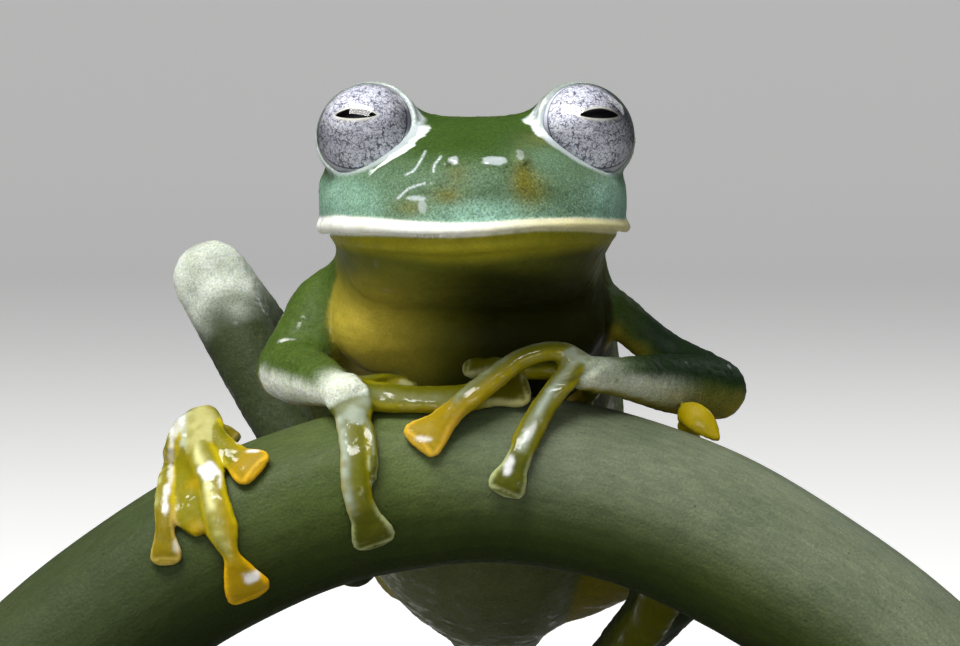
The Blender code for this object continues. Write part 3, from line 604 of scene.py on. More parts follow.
@dataclass(frozen=True)
class BodyForm:
    """Places of the joints and the sweeps of trunk and limbs."""

    shoulder: dict[Side, tuple[float, float, float]] = field(
        default_factory=lambda: {Side.RIGHT: (-5.2, 5.6, 22.0), Side.LEFT: (4.2, 5.2, 22.2)}
    )
    elbow: dict[Side, tuple[float, float, float]] = field(
        default_factory=lambda: {Side.RIGHT: (-7.0, 4.2, 19.75), Side.LEFT: (8.5, 3.5, 19.1)}
    )
    wrist: dict[Side, tuple[float, float, float]] = field(
        default_factory=lambda: {Side.RIGHT: (-4.8, -1.2, 19.2), Side.LEFT: (3.95, -1.3, 19.85)}
    )
    hip: dict[Side, tuple[float, float, float]] = field(
        default_factory=lambda: {Side.RIGHT: (-2.4, 17.2, 11.8), Side.LEFT: (3.4, 17.0, 11.2)}
    )
    knee: dict[Side, tuple[float, float, float]] = field(
        default_factory=lambda: {Side.RIGHT: (-10.2, 13.8, 22.8), Side.LEFT: (10.0, 5.6, 14.7)}
    )
    heel: dict[Side, tuple[float, float, float]] = field(
        default_factory=lambda: {Side.RIGHT: (-4.7, 8.9, 12.3), Side.LEFT: (3.4, 15.4, 6.2)}
    )
    instep: dict[Side, tuple[float, float, float]] = field(
        default_factory=lambda: {Side.RIGHT: (-9.2, 4.8, 14.8), Side.LEFT: (6.2, 9.0, 10.0)}
    )
    arm_fat: dict[Side, float] = field(default_factory=lambda: {Side.RIGHT: 1.5, Side.LEFT: 0.85})
    lift: float = 0.3

    def trunk(self) -> list[Sweep]:
        """The body from the neck to the vent, with the low hump over the pelvis."""
        rows = (
            (-0.35, 1.4, 26.0, 4.0, 2.0, 2.6),
            (-0.35, 3.4, 25.0, 4.6, 3.1, 3.6),
            (-0.3, 5.4, 23.5, 4.85, 3.6, 5.2),
            (-0.1, 8.0, 20.9, 5.1, 3.8, 5.5),
            (0.1, 11.2, 17.6, 5.3, 3.6, 5.0),
            (0.3, 14.2, 14.2, 5.0, 3.2, 4.4),
            (0.5, 16.8, 11.4, 3.9, 2.6, 3.1),
            (0.6, 18.8, 9.3, 2.0, 1.4, 1.7),
        )
        chest = even((-3.4, 3.7, 21.55, 1.9, 1.85), (0.0, 3.5, 21.3, 2.2, 2.0), (2.8, 3.9, 21.6, 1.8, 1.8))
        return [Sweep(Zone.TRUNK, rows, sides=64, steps=8, power=2.2), Sweep(Zone.TRUNK, chest, steps=8)]

    def arm(self, side: Side) -> list[Sweep]:
        """Upper arm and forearm."""
        shoulder, elbow, wrist = (np.array(place[side]) for place in (self.shoulder, self.elbow, self.wrist))
        inside = shoulder + (np.array([0.0, 6.4, 22.4]) - shoulder) * 0.45
        fat = self.arm_fat[side]
        upper = even(
            (*inside, fat * 1.1, fat * 1.1),
            (*shoulder, fat, fat),
            (*(shoulder * 0.45 + elbow * 0.55), fat * 0.88, fat * 0.88),
            (*elbow, 1.12, 1.12),
        )
        fore = even(
            (*elbow, 1.12, 1.12),
            (*(elbow * 0.62 + wrist * 0.38), 1.1, 1.02),
            (*(elbow * 0.2 + wrist * 0.8), 0.8, 0.68),
            (*(wrist * 1.06 - elbow * 0.06), 0.76, 0.58),
        )
        return [Sweep(Zone.UPPER_ARM, upper), Sweep(Zone.FOREARM, fore)]

    def leg(self, side: Side) -> list[Sweep]:
        """Thigh, shank and the long ankle."""
        hip, knee, heel, instep = (np.array(place[side]) for place in (self.hip, self.knee, self.heel, self.instep))
        thigh = even(
            (*hip, 1.75, 1.75),
            (*(hip * 0.65 + knee * 0.35), 1.7, 1.6),
            (*(hip * 0.25 + knee * 0.75), 1.5, 1.45),
            (*knee, 1.46, 1.46),
        )
        shank = even(
            (*knee, 1.46, 1.46),
            (*(knee * 0.68 + heel * 0.32), 1.35, 1.3),
            (*(knee * 0.25 + heel * 0.75), 1.0, 0.95),
            (*heel, 0.9, 0.85),
        )
        tarsus = even(
            (*heel, 0.9, 0.85),
            (*(heel * 0.5 + instep * 0.5), 0.72, 0.66),
            (*instep, 0.75, 0.6),
        )
        return [Sweep(Zone.THIGH, thigh), Sweep(Zone.SHANK, shank), Sweep(Zone.TARSUS, tarsus)]

    def hand(self, side: Side) -> list[Sweep]:
        """Palm and four fingers over the stem."""
        wrist = self.wrist[side]
        on, lift = STEM.on_skin, self.lift
        if side is Side.RIGHT:
            palm = [(-5.0, -0.5, 19.3, 0.76, 0.56), (*wrist, 0.76, 0.5), (-4.5, -1.75, 18.7, 0.78, 0.42), (-4.42, -2.2, 18.1, 0.55, 0.34)]
            digits = [
                Digit([(-4.6, -1.55, 18.95), on(-4.46, 17.95, lift), on(-4.37, 17.08, lift), on(-4.33, 16.22, lift),
                       on(-4.23, 15.5, lift), on(-3.92, 14.7, lift), on(-3.63, 13.95, lift)], 0.58, 0.82, 0.0, 1.0, 0.7),
                Digit([(-4.3, -1.6, 18.8), on(-3.9, 18.0, lift), on(-3.72, 17.4, lift), on(-3.7, 16.75, lift),
                       on(-3.77, 16.25, lift)], 0.17, 0.2, 0.0, 0.8, 0.0, thickness=0.22),
                Digit([(-4.5, -1.1, 19.15), (-3.3, -1.35, 19.0), (-2.1, -1.6, 18.95), (-0.9, -1.65, 18.95),
                       (0.2, -1.5, 19.15), (1.0, -1.35, 19.3), (1.6, -1.3, 19.4)], 0.6, 0.84, 0.1, 0.15, 0.3, (0.0, -0.72, 0.69)),
                Digit([(-4.3, -0.6, 19.4), (-3.4, -0.15, 19.5), (-2.8, 0.0, 19.5), (-2.4, 0.0, 19.45)], 0.34, 0.42, 0.1, 0.1, 0.0),
            ]
        else:
            palm = [(4.7, -0.6, 19.75, 0.7, 0.58), (*wrist, 0.72, 0.56), (3.4, -1.6, 20.2, 0.8, 0.48), (3.1, -1.65, 20.4, 0.6, 0.42)]
            digits = [
                Digit([(3.75, -1.35, 20.1), (3.17, -1.55, 20.55), (2.55, -1.8, 20.68), (1.48, -2.0, 20.42), (0.56, -2.3, 19.8),
                       (-0.21, -2.55, 19.2), (-0.98, -2.65, 18.55), on(-1.6, 17.97, lift), on(-2.16, 17.5, lift)], 0.44, 0.84, 0.6, 0.45, 0.35),
                Digit([(3.75, -1.5, 19.95), (3.4, -1.9, 20.05), (2.98, -2.15, 19.68), (2.27, -2.45, 18.78), on(1.75, 17.87, lift),
                       on(1.38, 17.05, lift), on(1.06, 16.3, lift), on(0.86, 15.82, lift)], 0.47, 0.7, 0.0, 1.0, 0.0),
                Digit([(3.3, -0.95, 20.1), (2.0, -0.6, 20.0), (0.8, -0.4, 20.03), (0.1, -0.35, 20.05), (-0.42, -0.3, 20.05)],
                      0.4, 0.5, 0.05, 0.1, 0.0, (0.0, -0.6, 0.8), thickness=0.36),
                Digit([(3.95, -0.7, 19.5), (3.95, 0.5, 19.2), (3.7, 1.3, 18.9), (3.5, 1.8, 18.55)], 0.38, 0.55, 0.4, 0.1, 0.0),
            ]
        return [Sweep(Zone.PALM, even(*palm), up=STEM.outward)] + [digit.sweep(Zone.FINGER) for digit in digits]

    def foot(self, side: Side) -> list[Sweep]:
        """Sole, five toes and the web between the longer ones."""
        on, lift = STEM.on_skin, self.lift
        instep = self.instep[side]
        if side is Side.RIGHT:
            ball = (-10.15, 0.3, 18.02)
            sole = [(-8.6, 5.6, 13.9, 0.72, 0.62), (*instep, 0.75, 0.6), (-9.7, 2.9, 16.95, 0.8, 0.5), (*ball, 0.92, 0.5),
                    (-9.98, -0.6, 17.65, 1.05, 0.45), (-9.92, -1.15, 17.15, 1.05, 0.36)]
            digits = [
                Digit([(-10.55, -0.2, 17.95), (-10.8, -0.9, 17.3), on(-10.92, 16.55, lift), on(-11.02, 15.9, lift), on(-11.05, 15.2, lift),
                       on(-11.03, 14.2, lift), on(-11.0, 13.4, lift)], 0.36, 0.6, 0.35, 1.0, 0.6),
                Digit([(-10.0, -0.9, 17.65), (-9.8, -1.6, 16.95), on(-9.5, 16.3, lift), on(-9.25, 15.25, lift), on(-8.95, 14.3, lift),
                       on(-8.62, 13.4, lift), on(-8.3, 12.65, lift), on(-8.02, 12.1, lift)], 0.56, 0.84, 0.9, 1.0, 0.15, neck=0.5),
                Digit([(-9.7, -0.5, 17.75), (-9.2, -1.1, 17.4), on(-8.65, 16.98, lift), on(-8.2, 16.75, lift), on(-7.85, 16.55, lift)],
                      0.46, 0.8, 0.75, 0.0, 0.0),
                Digit([(-9.9, 0.1, 17.75), (-9.3, 0.0, 17.7), (-8.85, -0.1, 17.6)], 0.5, 0.55, 0.3, 0.2, 0.0, thickness=0.4),
                Digit([(-9.6, 1.15, 17.3), (-9.1, 1.3, 17.42), (-8.75, 1.3, 17.58)], 0.4, 0.45, 0.6, 0.0, 0.0),
            ]
            web = [(-10.2, -1.1, 17.1, 0.7), (*on(-10.25, 16.3, 0.26), 0.72), (*on(-10.18, 15.6, 0.24), 0.74), (*on(-10.1, 15.05, 0.22), 0.72), (*on(-9.75, 14.5, 0.2), 0.4)]
        else:
            ball = (7.5, 4.1, 13.35)
            sole = [(5.8, 9.8, 9.5, 0.72, 0.62), (*instep, 0.75, 0.6), (7.0, 6.3, 11.95, 0.95, 0.52), (*ball, 1.2, 0.45), (7.6, 3.7, 14.2, 1.1, 0.42)]

            def over(rows: Rows) -> list[tuple[float, float, float]]:
                """Places on the far side of the stem."""
                return [on(x, z, lift, 1.0) for x, z in rows]

            digits = [
                Digit([ball, *over([(7.6, 14.9), (7.8, 16.2)]), (7.6, 1.5, 17.3), (7.3, 0.95, 17.95)], 0.34, 0.3, 0.75, 0.1, 0.0),
                Digit([ball, *over([(8.4, 14.4), (9.1, 15.0), (9.5, 15.6), (9.8, 16.0)])], 0.38, 0.6, 0.8, 0.3, 0.0),
                Digit([ball, *over([(6.9, 14.8), (6.5, 15.9), (6.3, 16.8), (6.2, 17.4)])], 0.38, 0.6, 0.8, 0.3, 0.0),
                Digit([ball, *over([(6.4, 14.2), (5.5, 15.0), (5.0, 15.5), (4.7, 15.8)])], 0.36, 0.56, 0.8, 0.3, 0.0),
                Digit([ball, *over([(6.5, 13.6), (5.6, 13.8), (5.1, 13.9), (4.8, 14.0)])], 0.36, 0.5, 0.8, 0.3, 0.0),
            ]
            web = [(7.37, 3.8, 13.85, 0.72), (*on(7.2, 14.9, lift, 1.0), 0.62), (*on(7.15, 15.6, lift, 1.0), 0.5), (*on(7.1, 16.1, lift, 1.0), 0.25)]
        made = [Sweep(Zone.SOLE, even(*sole), up=STEM.outward)] + [digit.sweep(Zone.TOE) for digit in digits]
        if side is Side.LEFT:
            leaf = even((7.25, 0.75, 18.35, 0.38, 0.2), (7.45, 0.5, 18.36, 0.47, 0.2), (7.75, 0.3, 18.2, 0.5, 0.2),
                        (8.08, 0.2, 17.88, 0.42, 0.18), (8.36, 0.12, 17.58, 0.22, 0.15), (8.46, 0.1, 17.48, 0.1, 0.12))
            made.append(Sweep(Zone.TOE, leaf, up=(0.0, -0.97, 0.25), steps=3, marks=(0.75, 0.0, 0.0)))
        return made + [Sweep(Zone.WEB, [(*row, 0.2, 0.26) for row in web], up=STEM.outward)]


BODY = BodyForm()


# Shaping of the skin


class Flesh:
    """The skin's mesh while it is shaped, in millimetres."""

    def __init__(self, mesh: bpy.types.Mesh) -> None:
        """Takes over a mesh."""
        self.mesh = mesh
        self.read()

    @classmethod
    def fused(cls, shells: list[Shell], voxel: float) -> "Flesh":
        """One closed skin over overlapping shells.

        Args:
            shells: The closed forms.
            voxel: Size of the new faces.

        Returns:
            The fused skin.
        """
        shell = Shell.joined(shells)
        mesh = bpy.data.meshes.new("flesh_forms")
        mesh.from_pydata(shell.points.tolist(), [], shell.faces)
        obj = bpy.data.objects.new("flesh_forms", mesh)
        bpy.context.scene.collection.objects.link(obj)
        fuse = obj.modifiers.new("fuse", "REMESH")
        fuse.mode = "VOXEL"
        fuse.voxel_size = voxel
        graph = bpy.context.evaluated_depsgraph_get()
        made = bpy.data.meshes.new_from_object(obj.evaluated_get(graph))
        bpy.data.objects.remove(obj, do_unlink=True)
        bpy.data.meshes.remove(mesh)
        return cls(made)

    def read(self) -> None:
        """Reads points and edges from the mesh."""
        count = len(self.mesh.vertices)
        points = np.zeros(count * 3, np.float32)
        self.mesh.vertices.foreach_get("co", points)
        self.points = points.reshape(-1, 3).astype(float)
        edges = np.zeros(len(self.mesh.edges) * 2, np.int32)
        self.mesh.edges.foreach_get("vertices", edges)
        self.edges = edges.reshape(-1, 2)
        self.degree = np.maximum(np.bincount(self.edges.ravel(), minlength=count), 1)

    def write(self) -> None:
        """Writes the points back to the mesh."""
        self.mesh.vertices.foreach_set("co", self.points.astype(np.float32).ravel())
        self.mesh.update()

    def normals(self) -> np.ndarray:
        """Unit normal of each point."""
        self.write()
        found = np.zeros(len(self.points) * 3, np.float32)
        self.mesh.vertex_normals.foreach_get("vector", found)
        return found.reshape(-1, 3).astype(float)

    def average(self, values: np.ndarray) -> np.ndarray:
        """Mean of each point's neighbours."""
        a, b = self.edges[:, 0], self.edges[:, 1]
        count = len(self.points)
        columns = values.reshape(count, -1)
        total = np.empty_like(columns)
        for k in range(columns.shape[1]):
            total[:, k] = np.bincount(a, columns[b, k], count) + np.bincount(b, columns[a, k], count)
        return (total / self.degree[:, None]).reshape(values.shape)

    def blur(self, values: np.ndarray, rounds: int) -> np.ndarray:
        """Values spread softly over the surface."""
        for _ in range(rounds):
            values = 0.5 * values + 0.5 * self.average(values)
        return values

    def fill_hollows(self, rounds: int, rate: float, where: np.ndarray | float = 1.0) -> None:
        """Raises creases only, so that masses flow into each other and nothing shrinks.

        Args:
            rounds: How often the skin is raised.
            rate: Share of the hollow that each round fills.
            where: Factor for each point.
        """
        normals = self.normals()
        for index in range(rounds):
            if index % 5 == 4:
                normals = self.normals()
            pull = self.average(self.points) - self.points
            rise = np.einsum("ij,ij->i", pull, normals)
            slide = pull - normals * rise[:, None]
            self.points += normals * (np.maximum(rise, 0.0) * rate * where)[:, None] + slide * 0.3

    def relax(self, rounds: int, where: np.ndarray | float = 1.0) -> None:
        """Smooths the skin without shrinking it."""
        weight = np.broadcast_to(np.asarray(where, float), (len(self.points),))[:, None]
        for _ in range(rounds):
            self.points += (self.average(self.points) - self.points) * 0.5 * weight
            self.points -= (self.average(self.points) - self.points) * 0.52 * weight

    def refine(self, chosen: np.ndarray) -> None:
        """Halves the faces whose points are all chosen."""
        self.write()
        work = bmesh.new()
        work.from_mesh(self.mesh)
        work.verts.ensure_lookup_table()
        pick = chosen.tolist()
        edges = [edge for edge in work.edges if pick[edge.verts[0].index] and pick[edge.verts[1].index]]
        bmesh.ops.subdivide_edges(work, edges=edges, cuts=1, use_grid_fill=True)
        work.to_mesh(self.mesh)
        work.free()
        self.read()

    def shell(self) -> Shell:
        """The skin as a shell."""
        self.write()
        return Shell(self.points.copy(), [tuple(face.vertices) for face in self.mesh.polygons])


@dataclass
class Nearest:
    """For each point of the skin, the sweep that lies under it and the place on that sweep."""

    sweep: np.ndarray
    along: np.ndarray
    across: np.ndarray
    above: np.ndarray
    beyond: np.ndarray
    zone: np.ndarray
    marks: np.ndarray

    @classmethod
    def find(cls, points: np.ndarray, sweeps: list[Sweep]) -> "Nearest":
        """Finds the nearest sweep of every point.

        Args:
            points: Points of the skin.
            sweeps: The forms under it.

        Returns:
            The places, with across as a share of the half width, and above and beyond of the half height.
        """
        centres, ahead, rights, ups, sizes, along, index = [], [], [], [], [], [], []
        for number, sweep in enumerate(sweeps):
            c, t, r, u, s = sweep.frames()
            centres.append(c)
            ahead.append(t)
            rights.append(r)
            ups.append(u)
            sizes.append(s)
            along.append(np.linspace(0.0, 1.0, len(c)))
            index.append(np.full(len(c), number))
        centre = np.vstack(centres).astype(np.float32)
        right = np.vstack(rights)
        up = np.vstack(ups)
        size = np.vstack(sizes)
        share = np.concatenate(along)
        number = np.concatenate(index)
        reach = size.mean(1).astype(np.float32)
        best = np.empty(len(points), np.int64)
        space = np.empty(len(points))
        square = (centre**2).sum(1)
        for start in range(0, len(points), 16384):
            part = points[start : start + 16384].astype(np.float32)
            gap = np.sqrt(np.maximum((part**2).sum(1)[:, None] + square - 2.0 * part @ centre.T, 0.0)) - reach
            best[start : start + 16384] = gap.argmin(1)
            space[start : start + 16384] = gap.min(1)
        offset = points - centre[best]
        zones = np.array([sweep.zone.value for sweep in sweeps])
        marks = np.array([sweep.marks for sweep in sweeps])
        zone = zones[number[best]]
        zone[(zone == Zone.FINGER.value) & (space > 0.6)] = Zone.HEAD.value
        return cls(
            sweep=number[best],
            along=share[best],
            across=np.einsum("ij,ij->i", offset, right[best]) / size[best, 0],
            above=np.einsum("ij,ij->i", offset, up[best]) / size[best, 1],
            beyond=np.einsum("ij,ij->i", offset, np.vstack(ahead)[best]) / size[best, 1],
            zone=zone,
            marks=marks[number[best]],
        )


@dataclass
class FrogSkin:
    """The frog's one skin: head, trunk and limbs without a seam."""

    coarse_voxel: float = 0.2
    fine_voxel: float = 0.08
    nodes: tuple[str, ...] = (
        "head",
        "torso",
        "upper_arm_right",
        "upper_arm_left",
        "forearm_right",
        "forearm_left",
        "hand_right",
        "hand_left",
        "thigh_right",
        "thigh_left",
        "shank_right",
        "shank_left",
        "tarsus_right",
        "tarsus_left",
        "foot_right",
        "foot_left",
    )

    def masses(self) -> list[Sweep]:
        """The large forms that flow into each other."""
        made = BODY.trunk() + HEAD.brows()
        for side in Side:
            made += BODY.arm(side) + BODY.leg(side)
        return made

    def details(self) -> list[Sweep]:
        """The small forms that keep their edges."""
        made = HEAD.lips() + HEAD.nostrils() + [EyeFrame(side).lid() for side in Side]
        for side in Side:
            made += BODY.hand(side) + BODY.foot(side)
        return made

    def shape(self) -> tuple[Flesh, Nearest]:
        """Builds the skin in millimetres, and finds what lies under each of its points."""
        masses = self.masses()
        details = self.details()
        body = Flesh.fused([HEAD.core()] + [sweep.shell() for sweep in masses], self.coarse_voxel)
        body.fill_hollows(60, 0.8)
        body.relax(6)
        seats = [EyeFrame(side).seat() for side in Side]
        voxel = self.fine_voxel * 1.0
        skin = Flesh.fused([body.shell(), *seats] + [sweep.shell() for sweep in details], voxel)
        LOG.info("skin fused: %d points", len(skin.points))
        self.open_eyes(skin)
        head = HEAD.to_head(skin.points)
        crease = self.mouth_mask(head, 0.25)
        skin.fill_hollows(14, 0.7, 1.0 - crease)
        skin.fill_hollows(50, 0.8, self.soft_places(skin.points))
        skin.relax(4, 1.0 - 0.7 * crease)
        head = HEAD.to_head(skin.points)
        front = (head[:, 2] > 23.6) & (head[:, 1] < 3.4) & (np.abs(head[:, 0]) < 6.4)
        skin.refine(front)
        skin.relax(2)
        self.open_eyes(skin)
        self.carve_head(skin)
        self.carve_chest(skin)
        under = Nearest.find(skin.points, masses + details)
        self.roughen(skin, under)
        LOG.info("skin shaped: %d points", len(skin.points))
        return skin, under

    @staticmethod
    def soft_places(points: np.ndarray) -> np.ndarray:
        """Where the skin is drawn softly over its creases: palms, soles and under the jaw."""
        soft = np.zeros(len(points))
        for side in Side:
            for place, reach in ((BODY.wrist[side], 1.3), (BODY.foot(side)[0].stations[3][:3], 1.2)):
                soft = np.maximum(soft, bell(np.linalg.norm(points - np.array(place), axis=1), reach))
        head = HEAD.to_head(points)
        jaw = smoothstep(24.5, 24.2, head[:, 2]) * smoothstep(22.0, 22.6, head[:, 2]) * smoothstep(4.0, 3.0, head[:, 1])
        return np.maximum(soft, jaw)

    @staticmethod
    def roughen(skin: Flesh, under: Nearest) -> None:
        """Gives the skin its low swellings, a finer unevenness, and granules on back and limbs."""
        normals = skin.normals()
        head = HEAD.to_head(skin.points)
        heights = np.zeros(len(Zone))
        for zone, height in ((Zone.HEAD, 0.012), (Zone.TRUNK, 0.03), (Zone.UPPER_ARM, 0.035), (Zone.FOREARM, 0.05),
                             (Zone.THIGH, 0.03), (Zone.SHANK, 0.03), (Zone.TARSUS, 0.02)):
            heights[zone.value] = height
        granular = skin.blur(heights[under.zone] * smoothstep(-1.0, 0.3, normals[:, 1] + normals[:, 2] * 0.6 + 0.5), 6)
        still = np.zeros(len(skin.points))
        for side in Side:
            depth, inward, lift = EyeFrame(side).place(skin.points)
            still = np.maximum(still, smoothstep(2.2, 1.85, np.hypot(inward, lift)) * (depth > 0.0) * (depth < 3.0))
        still = np.maximum(still, FrogSkin.mouth_mask(head, 0.3))
        rise = 0.022 * lattice_noise(skin.points, 0.9, 1) + 0.012 * lattice_noise(skin.points, 0.4, 2)
        rise += 0.006 * lattice_noise(skin.points, 0.17, 3)
        rise += granular * (0.7 * pebbles(skin.points, 0.36, 20) + 0.5 * pebbles(skin.points, 0.22, 30))
        digits = skin.blur(np.isin(under.zone, [Zone.FINGER.value, Zone.TOE.value, Zone.WEB.value, Zone.PALM.value, Zone.SOLE.value]).astype(float), 4)
        rise += digits * (0.016 * lattice_noise(skin.points, 0.3, 4) + 0.008 * lattice_noise(skin.points, 0.15, 6))
        skin.points += normals * (rise * (1.0 - still))[:, None]

    @staticmethod
    def mouth_mask(head: np.ndarray, width: float) -> np.ndarray:
        """Strip along the line of the mouth."""
        x, y, z = head.T
        strip = bell(z - HEAD.mouth_height(x), width)
        return strip * smoothstep(4.2, 3.2, y) * (np.abs(x) < 6.2)

    @staticmethod
    def open_eyes(skin: Flesh) -> None:
        """Presses back whatever skin lies in front of the eyeballs."""
        for side in Side:
            eye = EyeFrame(side)
            _, gaze, _, _ = eye.parts()
            depth, inward, lift = eye.place(skin.points)
            from_axis = np.hypot(inward, lift)
            floor = HEAD.limbus_depth - 0.12
            inside = (from_axis < 1.75) & (depth > floor) & (depth < 4.0)
            skin.points[inside] += gaze * (floor - depth[inside])[:, None]

    @staticmethod
    def carve_head(skin: Flesh) -> None:
        """Carves the line of the mouth, the openings of the nostrils and the folds below the eyes."""
        normals = skin.normals()
        head = HEAD.to_head(skin.points)
        x, y, z = head.T
        shift = np.zeros(len(head))
        shift -= 0.1 * FrogSkin.mouth_mask(head, 0.06)
        for side in Side:
            s = side.value
            nx, ny, nz = HEAD.nostril
            nx = s * nx + HEAD.nostril_shift
            hole = np.linalg.norm(head - np.array([nx + s * 0.24, ny - 0.3, nz - 0.02]), axis=1)
            shift -= 0.16 * bell(hole, 0.085)
            ear = np.hypot(y - 3.5, z - 26.7)
            on_side = (x * s > 4.0) & (ear < 1.2)
            shift += np.where(on_side, 0.05 * bell(ear - 0.55, 0.1) - 0.04 * bell(ear, 0.4), 0.0)
        in_front = smoothstep(0.0, -2.5, y)
        ridge = np.hypot((x - 0.45) / 0.75, (z - 27.3) / 0.2)
        shift += 0.1 * in_front * bell(ridge, 1.0)
        shift += 0.05 * in_front * bell(np.hypot((x - 0.4) / 0.5, (z - 26.8) / 0.6), 1.0)
        shift -= 0.05 * in_front * bell(np.hypot((np.abs(x - 0.35) - 1.35) / 0.35, (z - 26.6) / 0.6), 1.0)
        skin.points += normals * shift[:, None]

    @staticmethod
    def carve_chest(skin: Flesh) -> None:
        """Carves the round fold at each side of the chest."""
        normals = skin.normals()
        x, y, z = skin.points.T
        for centre_x, share in ((-3.55, 1.0), (2.7, 0.6)):
            inner = 1.85 - np.hypot(x - centre_x, z - 21.45)
            angle = np.degrees(np.arctan2(z - 21.45, (x - centre_x) * math.copysign(1.0, centre_x)))
            reach = smoothstep(-125.0, -80.0, angle) * smoothstep(35.0, -5.0, angle) * smoothstep(1.7, 1.3, inner)
            front = smoothstep(0.0, -0.4, normals[:, 1]) * smoothstep(7.0, 5.0, y)
            lift = 0.08 * bell(inner - 0.28, 0.22) - 0.13 * bell(inner + 0.04, 0.12) + 0.05 * bell(inner + 0.3, 0.2)
            skin.points += normals * (lift * reach * front * share)[:, None]

    def build(self) -> bpy.types.Object:
        """Shapes, paints and places the skin."""
        flesh, under = self.shape()
        painter = SkinPainter(flesh, under)
        tint, traits = painter.paint()
        mesh = flesh.mesh
        flesh.points = to_row_frame(flesh.points)
        flesh.write()
        write_attribute(mesh, "skin_tint", np.column_stack([tint, np.ones(len(tint))]))
        write_attribute(mesh, "skin_traits", np.column_stack([traits, np.ones(len(traits))]))
        mesh.shade_smooth()
        mesh.name = "frog_skin"
        obj = bpy.data.objects.new("frog_skin", mesh)
        bpy.context.scene.collection.objects.link(obj)
        mesh.materials.clear()
        mesh.materials.append(SkinFinish().build())
        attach(obj, "root")
        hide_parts(*self.nodes)
        return obj


@dataclass(frozen=True)
class SkinColours:
    """The frog's colours before light falls on them, with the colours of painted highlights and painted shade."""

    crown: tuple[float, float, float] = (0.042, 0.085, 0.012)
    snout: tuple[float, float, float] = (0.105, 0.175, 0.105)
    teal: tuple[float, float, float] = (0.25, 0.43, 0.35)
    ochre: tuple[float, float, float] = (0.155, 0.135, 0.006)
    lip: tuple[float, float, float] = (0.90, 0.90, 0.88)
    lip_cream: tuple[float, float, float] = (0.62, 0.57, 0.31)
    jaw: tuple[float, float, float] = (0.30, 0.27, 0.012)
    throat: tuple[float, float, float] = (0.115, 0.12, 0.01)
    # Painted shade of the throat's left side and of the skin under the jaw.
    throat_shade: tuple[float, float, float] = (0.02, 0.021, 0.001)
    chest: tuple[float, float, float] = (0.62, 0.48, 0.06)
    collar: tuple[float, float, float] = (0.50, 0.56, 0.60)
    # Painted highlight colour of the wet lids.
    lid_highlight: tuple[float, float, float] = (0.80, 0.88, 0.88)
    # Painted highlight colour of the wet film on snout and crown.
    film: tuple[float, float, float] = (0.58, 0.64, 0.70)
    back: tuple[float, float, float] = (0.07, 0.16, 0.025)
    flank: tuple[float, float, float] = (0.14, 0.18, 0.05)
    belly: tuple[float, float, float] = (0.14, 0.16, 0.06)
    limb: tuple[float, float, float] = (0.06, 0.1, 0.016)
    # Painted shade on the top of the frog's left arm.
    left_arm_shade: tuple[float, float, float] = (0.006, 0.018, 0.004)
    leg: tuple[float, float, float] = (0.038, 0.05, 0.02)
    limb_under: tuple[float, float, float] = (0.26, 0.22, 0.02)
    fringe: tuple[float, float, float] = (0.90, 0.94, 0.88)
    digit: tuple[float, float, float] = (0.11, 0.112, 0.001)
    warm_digit: tuple[float, float, float] = (0.20, 0.18, 0.003)
    olive_disc: tuple[float, float, float] = (0.075, 0.082, 0.001)
    orange_disc: tuple[float, float, float] = (0.42, 0.27, 0.001)
    orange_rim: tuple[float, float, float] = (0.78, 0.42, 0.001)
    leaf: tuple[float, float, float] = (0.33, 0.25, 0.001)
    # Painted highlight colour of the glints.
    glint: tuple[float, float, float] = (0.86, 0.87, 0.9)
    rim: tuple[float, float, float] = (0.55, 0.43, 0.005)
    edge_line: tuple[float, float, float] = (0.42, 0.46, 0.22)
    streak: tuple[float, float, float] = (0.46, 0.54, 0.50)
    warm_streak: tuple[float, float, float] = (0.66, 0.64, 0.30)
    knee: tuple[float, float, float] = (0.76, 0.81, 0.76)


